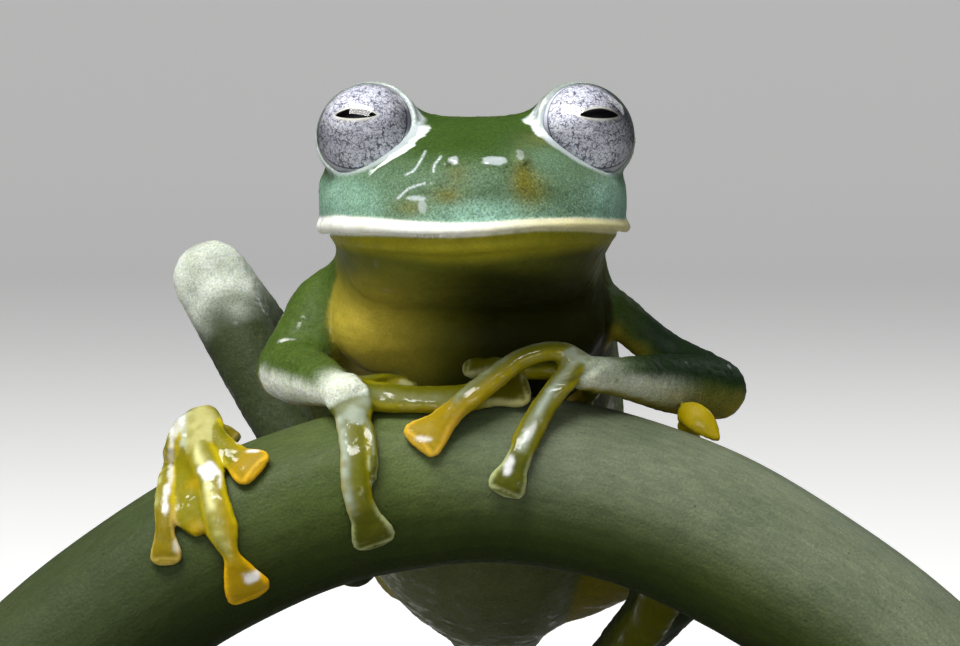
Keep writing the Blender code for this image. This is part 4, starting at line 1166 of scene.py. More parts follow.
class SkinPainter:
    """Lays the frog's markings, painted highlights and painted shade over the skin, point by point."""

    def __init__(self, flesh: Flesh, under: Nearest) -> None:
        """Takes the shaped skin and what lies under it."""
        self.flesh = flesh
        self.under = under
        self.points = flesh.points
        self.normals = flesh.normals()
        self.head = HEAD.to_head(self.points)
        self.colours = SkinColours()
        self.tint = np.tile(np.array(self.colours.back), (len(self.points), 1))
        self.wet = np.full(len(self.points), 0.6)
        self.grain = np.full(len(self.points), 0.5)
        self.mottle = np.full(len(self.points), 0.5)
        self.collar_reach = (
            (-180, 1.95, 1.0), (-135, 1.98, 0.8), (-100, 1.95, 0.7), (-60, 2.12, 0.9), (-25, 2.25, 1.0),
            (20, 2.15, 1.0), (50, 1.98, 0.9), (90, 1.93, 0.8), (180, 1.95, 1.0),
        )
        # Painted highlights of the wet film: x, z, half width, half height and strength of each patch.
        self.sheen_patches = (
            (0.43, 27.37, 0.48, 0.14, 0.7),
            (-0.99, 27.4, 0.2, 0.13, 0.6),
            (1.34, 27.6, 0.13, 0.16, 0.4),
            (-2.34, 26.09, 0.34, 0.08, 0.7),
            (-2.1, 25.81, 0.15, 0.2, 0.4),
            (0.14, 28.72, 0.3, 0.05, 0.6),
        )
        # Painted highlight lines along the film's wrinkled edges, as points of x and z.
        self.sheen_lines = (
            ((-1.93, 27.7), (-2.1, 27.41), (-2.34, 27.06), (-2.63, 26.89)),
            ((-1.41, 27.52), (-1.65, 27.23), (-1.7, 27.0)),
            ((-1.99, 26.6), (-2.4, 26.48), (-2.68, 26.31), (-2.92, 26.08)),
        )
        # Painted highlights: x, z, half width, half height, lean and strength of each glint.
        self.glints = (
            (-8.0, 12.85, 0.26, 0.24, 0.0, 0.8),
            (-9.55, 16.5, 0.32, 0.34, 0.3, 0.85),
            (-9.12, 16.25, 0.07, 0.3, 0.0, 0.7),
            (-7.95, 17.18, 0.28, 0.06, 0.0, 0.8),
            (-8.52, 17.45, 0.07, 0.08, 0.0, 0.8),
            (-10.62, 13.9, 0.14, 0.22, 0.0, 0.35),
            (-10.92, 16.8, 0.1, 1.2, 0.0, 0.55),
            (-11.02, 15.5, 0.11, 0.5, 0.0, 0.7),
            (-10.75, 18.1, 0.3, 0.45, 0.0, 0.5),
            (1.0, 16.75, 0.17, 0.32, -0.2, 0.75),
            (1.75, 17.9, 0.12, 0.3, -0.5, 0.5),
            (-2.0, 17.65, 0.26, 0.08, 0.6, 0.6),
            (-6.9, 20.75, 0.4, 0.15, 0.0, 0.7),
        )
        # Painted highlight on each wet lid: middle turn, half span of turn, distance from the eye's axis and half
        # width.
        self.lid_highlights = {Side.RIGHT: (-30.0, 40.0, 2.26, 0.2), Side.LEFT: (12.0, 28.0, 2.05, 0.2)}

    def lay(self, colour: Sequence[float], mask: np.ndarray) -> None:
        """Blends a colour over the skin by a mask."""
        self.tint += (np.array(colour) - self.tint) * np.clip(mask, 0.0, 1.0)[:, None]

    def over(self, *zones: Zone) -> np.ndarray:
        """1 where the skin lies over one of the zones."""
        return np.isin(self.under.zone, [zone.value for zone in zones]).astype(float)

    def paint(self) -> tuple[np.ndarray, np.ndarray]:
        """Paints all of it.

        Returns:
            The colour of each point, and its wetness, grain and mottle.
        """
        self.paint_trunk()
        self.paint_limbs()
        self.paint_head()
        self.tint = self.flesh.blur(self.tint, 6)
        self.paint_digits()
        self.paint_lips()
        self.paint_sheen()
        self.paint_collars()
        self.tint = self.flesh.blur(self.tint, 1)
        traits = self.flesh.blur(np.column_stack([self.wet, self.grain, self.mottle]), 3)
        return np.clip(self.tint, 0.0, 1.0), np.clip(traits, 0.0, 1.0)

    def paint_trunk(self) -> None:
        """Green back, pale flanks and an olive belly and throat, with painted shade on the throat towards the frog's
        left and under the jaw.
        """
        trunk = self.over(Zone.TRUNK, Zone.HEAD)
        above = self.under.above
        c = self.colours
        self.lay(c.flank, trunk * smoothstep(0.25, -0.1, above))
        self.lay(c.belly, trunk * smoothstep(-0.15, -0.5, above))
        x, y, z = self.points.T
        front = trunk * smoothstep(0.1, -0.3, self.normals[:, 1]) * smoothstep(7.5, 5.5, y)
        self.lay(c.throat, front * smoothstep(25.2, 24.6, z))
        # Painted shade: the throat darkens towards the frog's left and low down, and under the jaw on that side.
        self.lay(c.throat_shade, front * smoothstep(-3.0, 0.6, x) * smoothstep(24.2, 23.2, z + 0.04 * x * x))
        self.lay(c.throat_shade, front * smoothstep(0.5, 3.5, x) * smoothstep(24.7, 24.2, z) * 0.7)
        self.lay(c.chest, front * bell(np.hypot(x + 4.3, z - 21.0), 1.9) * smoothstep(24.0, 23.0, z))
        self.grain *= 1.0 - 0.6 * front
        self.wet *= 1.0 - (0.55 + 0.35 * smoothstep(-2.0, 1.0, x)) * front

    def paint_limbs(self) -> None:
        """Green arms and grey-green legs, with a whitish granular fringe along the forearms and painted shade on top of
        the frog's left arm.
        """
        c = self.colours
        under = self.under
        arms = self.over(Zone.UPPER_ARM, Zone.FOREARM)
        self.lay(c.limb, arms)
        # Painted shade: the upward faces of the frog's left arm are darkened.
        self.lay(c.left_arm_shade, arms * smoothstep(4.5, 6.5, self.points[:, 0]) * smoothstep(-0.4, 0.3, self.normals[:, 2]))
        legs = self.over(Zone.THIGH, Zone.SHANK, Zone.TARSUS)
        self.lay(c.leg, legs)
        down = smoothstep(0.1, -0.6, self.normals[:, 2])
        self.lay(c.limb_under, self.over(Zone.UPPER_ARM, Zone.THIGH, Zone.TARSUS) * down)
        fore = self.over(Zone.FOREARM)
        low = smoothstep(0.35, -0.25, self.normals[:, 2]) * smoothstep(0.3, -0.2, self.normals[:, 1])
        low = np.maximum(low, smoothstep(0.55, 1.0, under.along) * 0.8)
        left = self.points[:, 0] > 0.0
        low *= np.where(left, smoothstep(0.2, 0.6, under.along), 1.0)
        self.lay(c.limb_under, fore * left * smoothstep(0.1, -0.5, self.normals[:, 2]) * 0.6)
        # On the frog's left forearm the fringe is laid at half strength: partly a fainter band there, partly painted
        # shade of that side.
        self.lay(c.fringe, fore * low * np.where(left, 0.5, 1.0))
        self.lay(c.limb_under, fore * smoothstep(-0.75, -0.95, self.normals[:, 2]))
        self.grain = np.maximum(self.grain, fore * (0.75 - 0.35 * low))
        self.wet *= 1.0 - (0.5 + 0.3 * left) * arms
        knee = np.linalg.norm(self.points - np.array(BODY.knee[Side.RIGHT]), axis=1)
        paling = smoothstep(3.0, 0.9, knee + 0.5 * lattice_noise(self.points, 0.9, 5))
        self.lay(c.knee, legs * paling * smoothstep(0.6, -0.3, self.normals[:, 1]))
        self.wet *= 1.0 - 0.6 * legs
        self.lay(c.digit, self.over(Zone.TARSUS) * under.along * 0.8)

    def paint_head(self) -> None:
        """Green crown, teal cheeks and ochre patches beside the nostrils."""
        c = self.colours
        x, y, z = self.head.T
        head = self.over(Zone.HEAD, Zone.TRUNK) * smoothstep(24.9, 25.3, z) * (np.abs(x) < 6.6) * (y < 8.0)
        self.lay(c.crown, head)
        snout = head * smoothstep(27.9, 26.6, z) * smoothstep(1.0, -2.0, y)
        self.lay(c.snout, snout)
        side = smoothstep(2.6, 4.4, np.abs(x))
        cheeks = head * side * smoothstep(27.2, 26.2, z) * smoothstep(4.5, 2.5, y)
        self.lay(c.teal, cheeks * 0.9)
        low_middle = head * bell(x, 2.4) * smoothstep(26.3, 25.6, z)
        self.lay(c.teal, low_middle)
        self.lay(c.teal, head * bell(np.hypot((x - 2.2) / 1.1, (z - 27.5) / 0.6), 1.0) * 0.3 * (y < 0.5))
        below_eye = head * bell(np.hypot(np.abs(x) - 3.3, z - 26.75), 0.8) * smoothstep(1.5, -1.0, y)
        self.lay(c.snout, below_eye * 0.7)
        for place_x, place_z, wide, high, share in (
            (1.4, 26.75, 0.42, 0.75, 0.85),
            (1.8, 26.3, 0.5, 0.6, 0.6),
            (-1.25, 26.15, 0.5, 0.32, 0.7),
            (-2.5, 25.75, 0.6, 0.3, 0.6),
            (-0.9, 26.9, 0.35, 0.4, 0.4),
            (2.2, 28.1, 0.7, 0.3, 0.4),
        ):
            spot = np.exp(-(((x - place_x) / wide) ** 2) - ((z - place_z) / high) ** 2)
            self.lay(c.ochre, head * spot * share * (y < 0.5))
        self.grain = np.maximum(self.grain, 0.8 * head)

    def paint_digits(self) -> None:
        """Olive-yellow fingers and toes with olive or orange discs, bright rims and pale streaks."""
        c = self.colours
        under = self.under
        orange, pale, pale_at = under.marks.T
        digits = self.over(Zone.FINGER, Zone.TOE, Zone.WEB, Zone.PALM, Zone.SOLE)
        tips = self.over(Zone.FINGER, Zone.TOE)
        self.lay(c.digit, digits)
        x = self.points[:, 0]
        palms = self.over(Zone.PALM, Zone.SOLE) * smoothstep(0.2, 0.8, under.above)
        warm = smoothstep(-7.0, -8.0, x)
        coarse = lattice_noise(self.points, 0.9, 12)
        breaks = smoothstep(-0.35, 0.45, lattice_noise(self.points, 0.3, 11) + 0.8 * coarse)
        self.lay(c.warm_digit, digits * warm)
        self.lay(c.streak, palms * (0.2 + 0.3 * breaks) * (1.0 - warm))
        self.lay(c.warm_streak, palms * (0.3 + 0.22 * breaks) * warm)
        self.lay(c.orange_disc, self.over(Zone.WEB, Zone.SOLE) * warm * smoothstep(0.1, -0.7, coarse) * 0.6)
        self.lay(c.streak, palms * smoothstep(-10.25, -10.65, x))
        sloped = 0.5 * np.abs(pale_at)
        top = smoothstep(0.25 - sloped, 0.7 - sloped, under.above) * bell(under.across - pale_at, 0.36)
        shaft = smoothstep(0.82, 0.7, under.along)
        self.lay(c.orange_disc, tips * orange * smoothstep(0.25, 0.75, under.along) * smoothstep(0.2, -0.7, under.across) * 0.8)
        self.lay(c.streak, tips * top * shaft * pale * (0.45 + 0.55 * breaks) * 0.7 * (1.0 - warm))
        self.lay(c.warm_streak, tips * top * shaft * pale * (0.2 + 0.8 * breaks) * warm)
        disc = tips * smoothstep(0.7, 0.8, under.along)
        self.lay(c.olive_disc, disc)
        self.lay(c.orange_disc, disc * orange)
        side = smoothstep(0.62, 0.9, np.abs(under.across))
        self.lay(c.rim, tips * side * (0.25 + 0.5 * warm) * shaft)
        tip = np.maximum(smoothstep(0.72, 0.86, np.abs(under.across)), smoothstep(0.35, 0.75, under.beyond) * (under.along > 0.9))
        self.lay(c.edge_line, disc * tip * (1.0 - orange) * 0.8)
        self.lay(c.orange_rim, disc * tip * orange)
        self.lay(c.leaf, tips * (x > 6.5) * (self.points[:, 2] > 17.5))
        self.grain *= 1.0 - 0.8 * digits
        self.wet += (0.72 - 0.22 * disc - self.wet) * digits
        self.mottle *= 1.0 - 0.6 * digits
        self.paint_glints()

    def paint_glints(self) -> None:
        """Painted highlights: small white marks of fixed colour where water glints on discs, toes and shoulder."""
        x, _, z = self.points.T
        near = self.over(Zone.UPPER_ARM, Zone.PALM, Zone.FINGER, Zone.SOLE, Zone.TOE, Zone.WEB)
        front = near * smoothstep(0.45, 0.0, self.normals[:, 1])
        ragged = 0.45 * lattice_noise(self.points, 0.22, 15)
        for at_x, at_z, wide, high, lean, share in self.glints:
            away = np.hypot((x - at_x + lean * (z - at_z)) / wide, (z - at_z) / high)
            self.lay(self.colours.glint, front * smoothstep(1.15, 0.8, away + ragged) * share)

    def paint_lips(self) -> None:
        """White upper lip that turns to cream, and the olive lower jaw."""
        c = self.colours
        x, y, z = self.head.T
        near = (y < 4.4) * (np.abs(x) < 6.4) * self.over(Zone.HEAD, Zone.TRUNK)
        middle, half = HEAD.lip_height(x), HEAD.lip_half(x)
        low = HEAD.mouth_height(x)
        deep = 0.25 + 0.75 * np.sqrt(np.clip(1.0 - (x / 5.2) ** 2, 0.0, 1.0))
        jaw = near * smoothstep(low + 0.02, low - 0.06, z) * smoothstep(low - 1.15 * deep, low - 0.6 * deep, z)
        # The jaw colour weakens towards the frog's left: painted shade of that side.
        self.lay(c.jaw, jaw * (0.9 - 0.45 * smoothstep(1.0, 4.5, x)))
        band = near * smoothstep(low - 0.06, low + 0.02, z) * smoothstep(middle + half + 0.12, middle + half - 0.02, z)
        self.lay(c.lip, band)
        self.lay(c.lip_cream, band * smoothstep(-2.0, 4.0, x))
        specks = smoothstep(0.62, 0.8, lattice_noise(self.points, 0.13, 13)) * bell(z - low + 0.04, 0.12) * near
        self.lay(c.crown, specks * 0.8)
        self.grain *= 1.0 - 0.8 * band

    def paint_sheen(self) -> None:
        """Painted highlights: bright patches and fine wrinkled lines of fixed colour where the film of water shines on
        snout and crown; the patches are also made wet.
        """
        x, y, z = self.head.T
        front = self.over(Zone.HEAD) * (y < 0.6)
        ragged = 0.35 * lattice_noise(self.points, 0.2, 14)
        for at_x, at_z, wide, high, share in self.sheen_patches:
            patch = front * smoothstep(1.15, 0.85, np.hypot((x - at_x) / wide, (z - at_z) / high) + ragged)
            self.lay(self.colours.film, patch * share)
            self.wet = np.maximum(self.wet, patch)
            self.grain *= 1.0 - 0.8 * patch
        for line in self.sheen_lines:
            path = smooth_rows(line, 8)
            chosen = np.flatnonzero((front > 0.0) & (np.abs(x - path[:, 0].mean()) < 1.5) & (np.abs(z - path[:, 1].mean()) < 1.5))
            away = np.hypot(x[chosen, None] - path[:, 0], z[chosen, None] - path[:, 1]).min(1)
            mask = np.zeros(len(x))
            mask[chosen] = smoothstep(0.06, 0.015, away)
            self.lay(self.colours.film, mask * 0.8)

    def paint_collars(self) -> None:
        """Pale collar round each eye, with a painted highlight where its wet lid shines."""
        for side in Side:
            depth, inward, lift = EyeFrame(side).place(self.points)
            ring = np.hypot(inward, lift)
            turn = np.degrees(np.arctan2(lift, inward))
            near = smoothstep(-0.2, 0.1, depth) * (depth < 2.0)
            table = np.array(self.collar_reach)
            reach = np.interp(turn, table[:, 0], table[:, 1]) + 0.04 * lattice_noise(self.points, 0.5, 8)
            strength = np.interp(turn, table[:, 0], table[:, 2])
            collar = smoothstep(reach + 0.06, reach - 0.2, ring) * near
            self.lay(self.colours.collar, collar * strength)
            middle, span, at, wide = self.lid_highlights[side]
            ragged = 0.16 * lattice_noise(self.points, 0.34, 9) + 0.06 * lattice_noise(self.points, 0.12, 10)
            patch = smoothstep(wide, wide - 0.06, np.abs(ring - at + ragged)) * smoothstep(span, span - 8.0, np.abs(turn - middle))
            # Painted highlight on the wet lid.
            self.lay(self.colours.lid_highlight, patch * near)
            self.grain *= 1.0 - 0.9 * np.maximum(collar, patch * near)
            self.wet = np.maximum(self.wet, np.maximum(collar, patch * near))


# Materials


class Board:
    """A node tree being laid out."""

    def __init__(self, tree: bpy.types.NodeTree) -> None:
        """Takes the tree."""
        self.tree = tree

    def add(self, kind: str, settings: dict | None = None, **sockets: object) -> bpy.types.Node:
        """Adds a node.

        Args:
            kind: The node's type without ShaderNode.
            settings: Values of the node's own properties.
            sockets: For each input, named with _ for a space, a socket to link or a plain value.

        Returns:
            The node.
        """
        node = self.tree.nodes.new("ShaderNode" + kind)
        for key, value in (settings or {}).items():
            setattr(node, key, value)
        for key, value in sockets.items():
            self.feed(node.inputs[key.replace("_", " ")], value)
        return node

    def feed(self, socket: bpy.types.NodeSocket, value: object) -> None:
        """Links a socket, or sets it to a plain value."""
        if isinstance(value, bpy.types.NodeSocket):
            self.tree.links.new(value, socket)
        else:
            socket.default_value = value

    def mix(self, factor: object, a: object, b: object, blend: str = "MIX") -> bpy.types.NodeSocket:
        """Mixes two colours."""
        node = self.tree.nodes.new("ShaderNodeMix")
        node.data_type = "RGBA"
        node.blend_type = blend
        for index, value in ((0, factor), (6, a), (7, b)):
            self.feed(node.inputs[index], (*value, 1.0) if isinstance(value, tuple) and len(value) == 3 else value)
        return node.outputs[2]

    def maths(self, operation: str, *values: object, clamp: bool = False) -> bpy.types.NodeSocket:
        """A Math node."""
        node = self.tree.nodes.new("ShaderNodeMath")
        node.operation = operation
        node.use_clamp = clamp
        for socket, value in zip(node.inputs, values):
            self.feed(socket, value)
        return node.outputs[0]

    def span(self, value: object, low: float, high: float, out_low: float = 0.0, out_high: float = 1.0) -> bpy.types.NodeSocket:
        """Maps a range of values to another, clamped."""
        node = self.add("MapRange", Value=value, From_Min=low, From_Max=high, To_Min=out_low, To_Max=out_high)
        return node.outputs[0]

    def attribute(self, name: str) -> bpy.types.Node:
        """Reads an attribute of the mesh."""
        return self.add("Attribute", {"attribute_name": name})

    def group(self, group: bpy.types.NodeTree, **sockets: object) -> bpy.types.Node:
        """Places a node group."""
        node = self.tree.nodes.new("ShaderNodeGroup")
        node.node_tree = group
        for key, value in sockets.items():
            self.feed(node.inputs[key.replace("_", " ")], value)
        return node


def new_group(name: str, inputs: dict[str, tuple[str, object]], outputs: dict[str, str]) -> tuple[bpy.types.NodeTree, Board, bpy.types.Node, bpy.types.Node]:
    """An empty shader node group with named sockets.

    Args:
        name: The group's name.
        inputs: For each input, its kind and its default value.
        outputs: For each output, its kind.

    Returns:
        The tree, a board on it, and its input and output nodes.
    """
    tree = bpy.data.node_groups.new(name, "ShaderNodeTree")
    for label, (kind, default) in inputs.items():
        socket = tree.interface.new_socket(label, in_out="INPUT", socket_type=kind)
        if default is not None:
            socket.default_value = default
    for label, kind in outputs.items():
        tree.interface.new_socket(label, in_out="OUTPUT", socket_type=kind)
    return tree, Board(tree), tree.nodes.new("NodeGroupInput"), tree.nodes.new("NodeGroupOutput")


def grain_group() -> bpy.types.NodeTree:
    """Fine grain: rounded granules of a chosen size over a softer unevenness."""
    name = "fine_grain"
    if name in bpy.data.node_groups:
        return bpy.data.node_groups[name]
    tree, board, given, result = new_group(
        name,
        {"Place": ("NodeSocketVector", None), "Density": ("NodeSocketFloat", 8000.0), "Softness": ("NodeSocketFloat", 0.5)},
        {"Height": "NodeSocketFloat", "Speck": "NodeSocketFloat"},
    )
    place, density, softness = given.outputs[0], given.outputs[1], given.outputs[2]
    cells = board.add("TexVoronoi", {"feature": "SMOOTH_F1"}, Vector=place, Scale=density, Smoothness=softness)
    dome = board.maths("SUBTRACT", 1.0, cells.outputs["Distance"], clamp=True)
    wave = board.add("TexNoise", Vector=place, Scale=board.maths("MULTIPLY", density, 0.35), Detail=3.0, Roughness=0.6)
    height = board.maths("ADD", board.maths("MULTIPLY", dome, 0.6), board.maths("MULTIPLY", wave.outputs["Fac"], 0.5))
    speck = board.add("TexNoise", Vector=place, Scale=board.maths("MULTIPLY", density, 1.3), Detail=2.0, Roughness=0.7)
    board.feed(result.inputs["Height"], height)
    board.feed(result.inputs["Speck"], speck.outputs["Fac"])
    return tree


def mottle_group() -> bpy.types.NodeTree:
    """Soft mottle: broad clouds with finer clouds in them, from 0 to 1."""
    name = "soft_mottle"
    if name in bpy.data.node_groups:
        return bpy.data.node_groups[name]
    tree, board, given, result = new_group(
        name,
        {"Place": ("NodeSocketVector", None), "Density": ("NodeSocketFloat", 800.0), "Contrast": ("NodeSocketFloat", 0.2)},
        {"Mask": "NodeSocketFloat", "Fine": "NodeSocketFloat"},
    )
    place, density, contrast = given.outputs[0], given.outputs[1], given.outputs[2]
    broad = board.add("TexNoise", Vector=place, Scale=density, Detail=4.0, Roughness=0.6, Distortion=0.4)
    fine = board.add("TexNoise", Vector=place, Scale=board.maths("MULTIPLY", density, 6.0), Detail=3.0, Roughness=0.6)
    low = board.maths("SUBTRACT", 0.5, contrast)
    high = board.maths("ADD", 0.5, contrast)
    mask = board.add("MapRange", Value=broad.outputs["Fac"], From_Min=low, From_Max=high)
    fine_mask = board.add("MapRange", Value=fine.outputs["Fac"], From_Min=low, From_Max=high)
    board.feed(result.inputs["Mask"], mask.outputs[0])
    board.feed(result.inputs["Fine"], fine_mask.outputs[0])
    return tree


def new_material(name: str) -> tuple[bpy.types.Material, Board, bpy.types.Node]:
    """A material with a board on its tree and its Principled shader."""
    material = bpy.data.materials.new(name)
    material.use_nodes = True
    return material, Board(material.node_tree), material.node_tree.nodes["Principled BSDF"]


@dataclass(frozen=True)
class SkinFinish:
    """Finely grained, translucent skin under a broken film of water."""

    granules: float = 9500.0
    clouds: float = 1100.0
    bump: float = 0.00003
    roughness_dry: float = 0.58
    roughness_wet: float = 0.42

    def build(self) -> bpy.types.Material:
        """Builds the material from the skin's painted attributes."""
        material, board, shader = new_material("frog_skin")
        place = board.add("TexCoord").outputs["Object"]
        tint = board.attribute("skin_tint").outputs["Color"]
        traits = board.add("SeparateColor", Color=board.attribute("skin_traits").outputs["Color"])
        wet, grain, mottle = traits.outputs[0], traits.outputs[1], traits.outputs[2]
        clouds = board.group(mottle_group(), Place=place, Density=self.clouds, Contrast=0.2)
        granules = board.group(grain_group(), Place=place, Density=self.granules, Softness=0.4)
        shade = board.mix(board.maths("MULTIPLY", clouds.outputs["Mask"], mottle), tint, (0.55, 0.62, 0.5), "MULTIPLY")
        light = board.maths("MULTIPLY", clouds.outputs["Fine"], board.maths("MULTIPLY", mottle, 0.6))
        light = board.mix(light, shade, (1.35, 1.3, 1.1), "MULTIPLY")
        dark_specks = board.maths("MULTIPLY", board.span(granules.outputs["Speck"], 0.5, 0.36), grain)
        light = board.mix(board.maths("MULTIPLY", dark_specks, 1.0), light, (0.45, 0.5, 0.4), "MULTIPLY")
        pale_specks = board.maths("MULTIPLY", board.span(granules.outputs["Speck"], 0.54, 0.68), grain)
        dusted = board.mix(board.maths("MULTIPLY", pale_specks, 0.8), light, (1.7, 1.7, 1.6), "MULTIPLY")
        board.feed(shader.inputs["Base Color"], dusted)
        board.feed(shader.inputs["Roughness"], board.span(wet, 0.0, 1.0, self.roughness_dry, self.roughness_wet))
        height = board.maths("MULTIPLY", granules.outputs["Height"], board.span(grain, 0.0, 1.0, 0.12, 1.0))
        bump = board.add("Bump", Strength=1.0, Distance=self.bump, Height=height)
        board.feed(shader.inputs["Normal"], bump.outputs[0])
        film = board.add("TexNoise", Vector=place, Scale=1400.0, Detail=5.0, Roughness=0.65)
        edge = board.maths("SUBTRACT", 0.62, board.maths("MULTIPLY", wet, 0.17))
        edge = board.maths("SUBTRACT", edge, board.span(wet, 0.88, 0.98, 0.0, 0.35))
        broken = board.maths("MULTIPLY", board.maths("SUBTRACT", film.outputs["Fac"], edge), 14.0, clamp=True)
        board.feed(shader.inputs["Coat Weight"], board.maths("MULTIPLY", broken, board.span(wet, 0.0, 1.0, 0.3, 1.0)))
        shader.inputs["Coat Roughness"].default_value = 0.05
        shader.inputs["Specular IOR Level"].default_value = 0.12
        shader.inputs["Subsurface Weight"].default_value = 0.25
        shader.inputs["Subsurface Radius"].default_value = (1.0, 0.8, 0.25)
        shader.inputs["Subsurface Scale"].default_value = 0.0005
        return material


@dataclass(frozen=True)
class IrisFinish:
    """Silver iris with dark veins, a bright edge at the pupil and a thin dark ring at its rim."""

    def build(self) -> bpy.types.Material:
        """Builds the material from the iris's own places."""
        material, board, shader = new_material("frog_iris")
        place = board.attribute("iris_place").outputs["Vector"]
        parts = board.add("SeparateXYZ", Vector=place)
        share = parts.outputs[2]
        low_inner = board.maths("SUBTRACT", board.maths("MULTIPLY", parts.outputs[0], 0.024), board.maths("MULTIPLY", parts.outputs[1], 0.02))
        border = board.maths("ADD", share, low_inner)
        warp = board.add("TexNoise", Vector=place, Scale=5.0, Detail=4.0, Roughness=0.6)
        bent = board.add("VectorMath", {"operation": "MULTIPLY_ADD"})
        board.feed(bent.inputs[0], warp.outputs["Color"])
        bent.inputs[1].default_value = (0.35, 0.35, 0.0)
        board.feed(bent.inputs[2], place)
        cracks = None
        for density, width, depth, shift in ((2.0, 0.02, 1.0, 0.0), (4.2, 0.042, 0.95, 3.0), (8.5, 0.05, 0.75, 7.0)):
            moved = board.add("Mapping", Vector=bent.outputs[0])
            moved.inputs["Location"].default_value = (shift, shift * 1.7, 0.0)
            wave = board.add("TexNoise", Vector=moved.outputs[0], Scale=density, Detail=1.5, Roughness=0.5)
            level = board.maths("ABSOLUTE", board.maths("SUBTRACT", wave.outputs["Fac"], 0.5))
            breaks = board.add("TexNoise", Vector=moved.outputs[0], Scale=density * 1.9, Detail=1.0)
            open_at = board.span(breaks.outputs["Fac"], 0.38, 0.5, 0.1, depth)
            line = board.maths("MULTIPLY", board.span(level, width * 0.3, width, 1.0, 0.0), open_at)
            cracks = line if cracks is None else board.maths("MAXIMUM", cracks, line)
        patch = board.add("TexNoise", Vector=place, Scale=1.3, Detail=3.0, Roughness=0.6)
        near_pupil = board.span(share, 0.05, 0.6, 0.16, 0.0)
        dim = board.span(board.maths("ADD", patch.outputs["Fac"], near_pupil), 0.46, 0.66)
        flakes = board.add("TexNoise", Vector=place, Scale=16.0, Detail=4.0, Roughness=0.75)
        stipple = board.maths("MULTIPLY", board.span(flakes.outputs["Fac"], 0.5, 0.42), board.span(dim, 0.0, 1.0, 0.25, 0.85))
        silver = board.mix(board.span(flakes.outputs["Fac"], 0.38, 0.66), (0.88, 0.90, 1.0), (1.0, 1.0, 1.0))
        shaded = board.mix(board.maths("MULTIPLY", dim, 0.25), silver, (0.46, 0.47, 0.64))
        stippled = board.mix(board.maths("MULTIPLY", stipple, 0.38), shaded, (0.20, 0.20, 0.32))
        veined = board.mix(cracks, stippled, (0.07, 0.07, 0.13))
        bright = board.mix(board.span(share, 0.02, 0.09, 0.9, 0.0), veined, (0.92, 0.91, 0.80))
        # Painted shade: the iris darkens towards its top.
        toned = board.mix(board.span(parts.outputs[1], -0.2, 1.4, 0.0, 0.5), bright, (0.66, 0.67, 0.72), "MULTIPLY")
        edge = board.maths("MULTIPLY", board.span(border, 0.908, 0.92), board.span(border, 0.93, 0.945, 1.0, 0.0))
        ringed = board.mix(board.maths("MULTIPLY", edge, 0.9), toned, (0.04, 0.04, 0.09))
        outside = board.mix(board.span(border, 0.93, 0.945), ringed, (0.70, 0.72, 0.80))
        board.feed(shader.inputs["Base Color"], outside)
        shader.inputs["Roughness"].default_value = 0.5
        height = board.maths("SUBTRACT", flakes.outputs["Fac"], cracks)
        bump = board.add("Bump", Strength=0.6, Distance=0.00002, Height=height)
        board.feed(shader.inputs["Normal"], bump.outputs[0])
        return material


@dataclass(frozen=True)
class PupilFinish:
    """The black of the pupil."""

    def build(self) -> bpy.types.Material:
        """Builds the material."""
        material, board, shader = new_material("frog_pupil")
        depth = board.add("TexNoise", Scale=3000.0, Detail=2.0)
        board.feed(shader.inputs["Base Color"], board.mix(depth.outputs["Fac"], (0.002, 0.002, 0.004), (0.008, 0.008, 0.012)))
        shader.inputs["Roughness"].default_value = 0.5
        return material


@dataclass(frozen=True)
class CorneaFinish:
    """Clear cornea: what lies behind shows, with gloss by angle."""

    def build(self) -> bpy.types.Material:
        """Builds the material."""
        material = bpy.data.materials.new("frog_cornea")
        material.use_nodes = True
        tree = material.node_tree
        tree.nodes.remove(tree.nodes["Principled BSDF"])
        board = Board(tree)
        gloss = board.add("BsdfGlossy", Roughness=0.03, Color=(1.0, 1.0, 1.0, 1.0))
        clear = board.add("BsdfTransparent", Color=(1.0, 1.0, 1.0, 1.0))
        angle = board.add("Fresnel", IOR=1.45)
        mixed = board.add("MixShader")
        board.feed(mixed.inputs[0], angle.outputs[0])
        board.feed(mixed.inputs[1], clear.outputs[0])
        board.feed(mixed.inputs[2], gloss.outputs[0])
        board.feed(tree.nodes["Material Output"].inputs["Surface"], mixed.outputs[0])
        return material


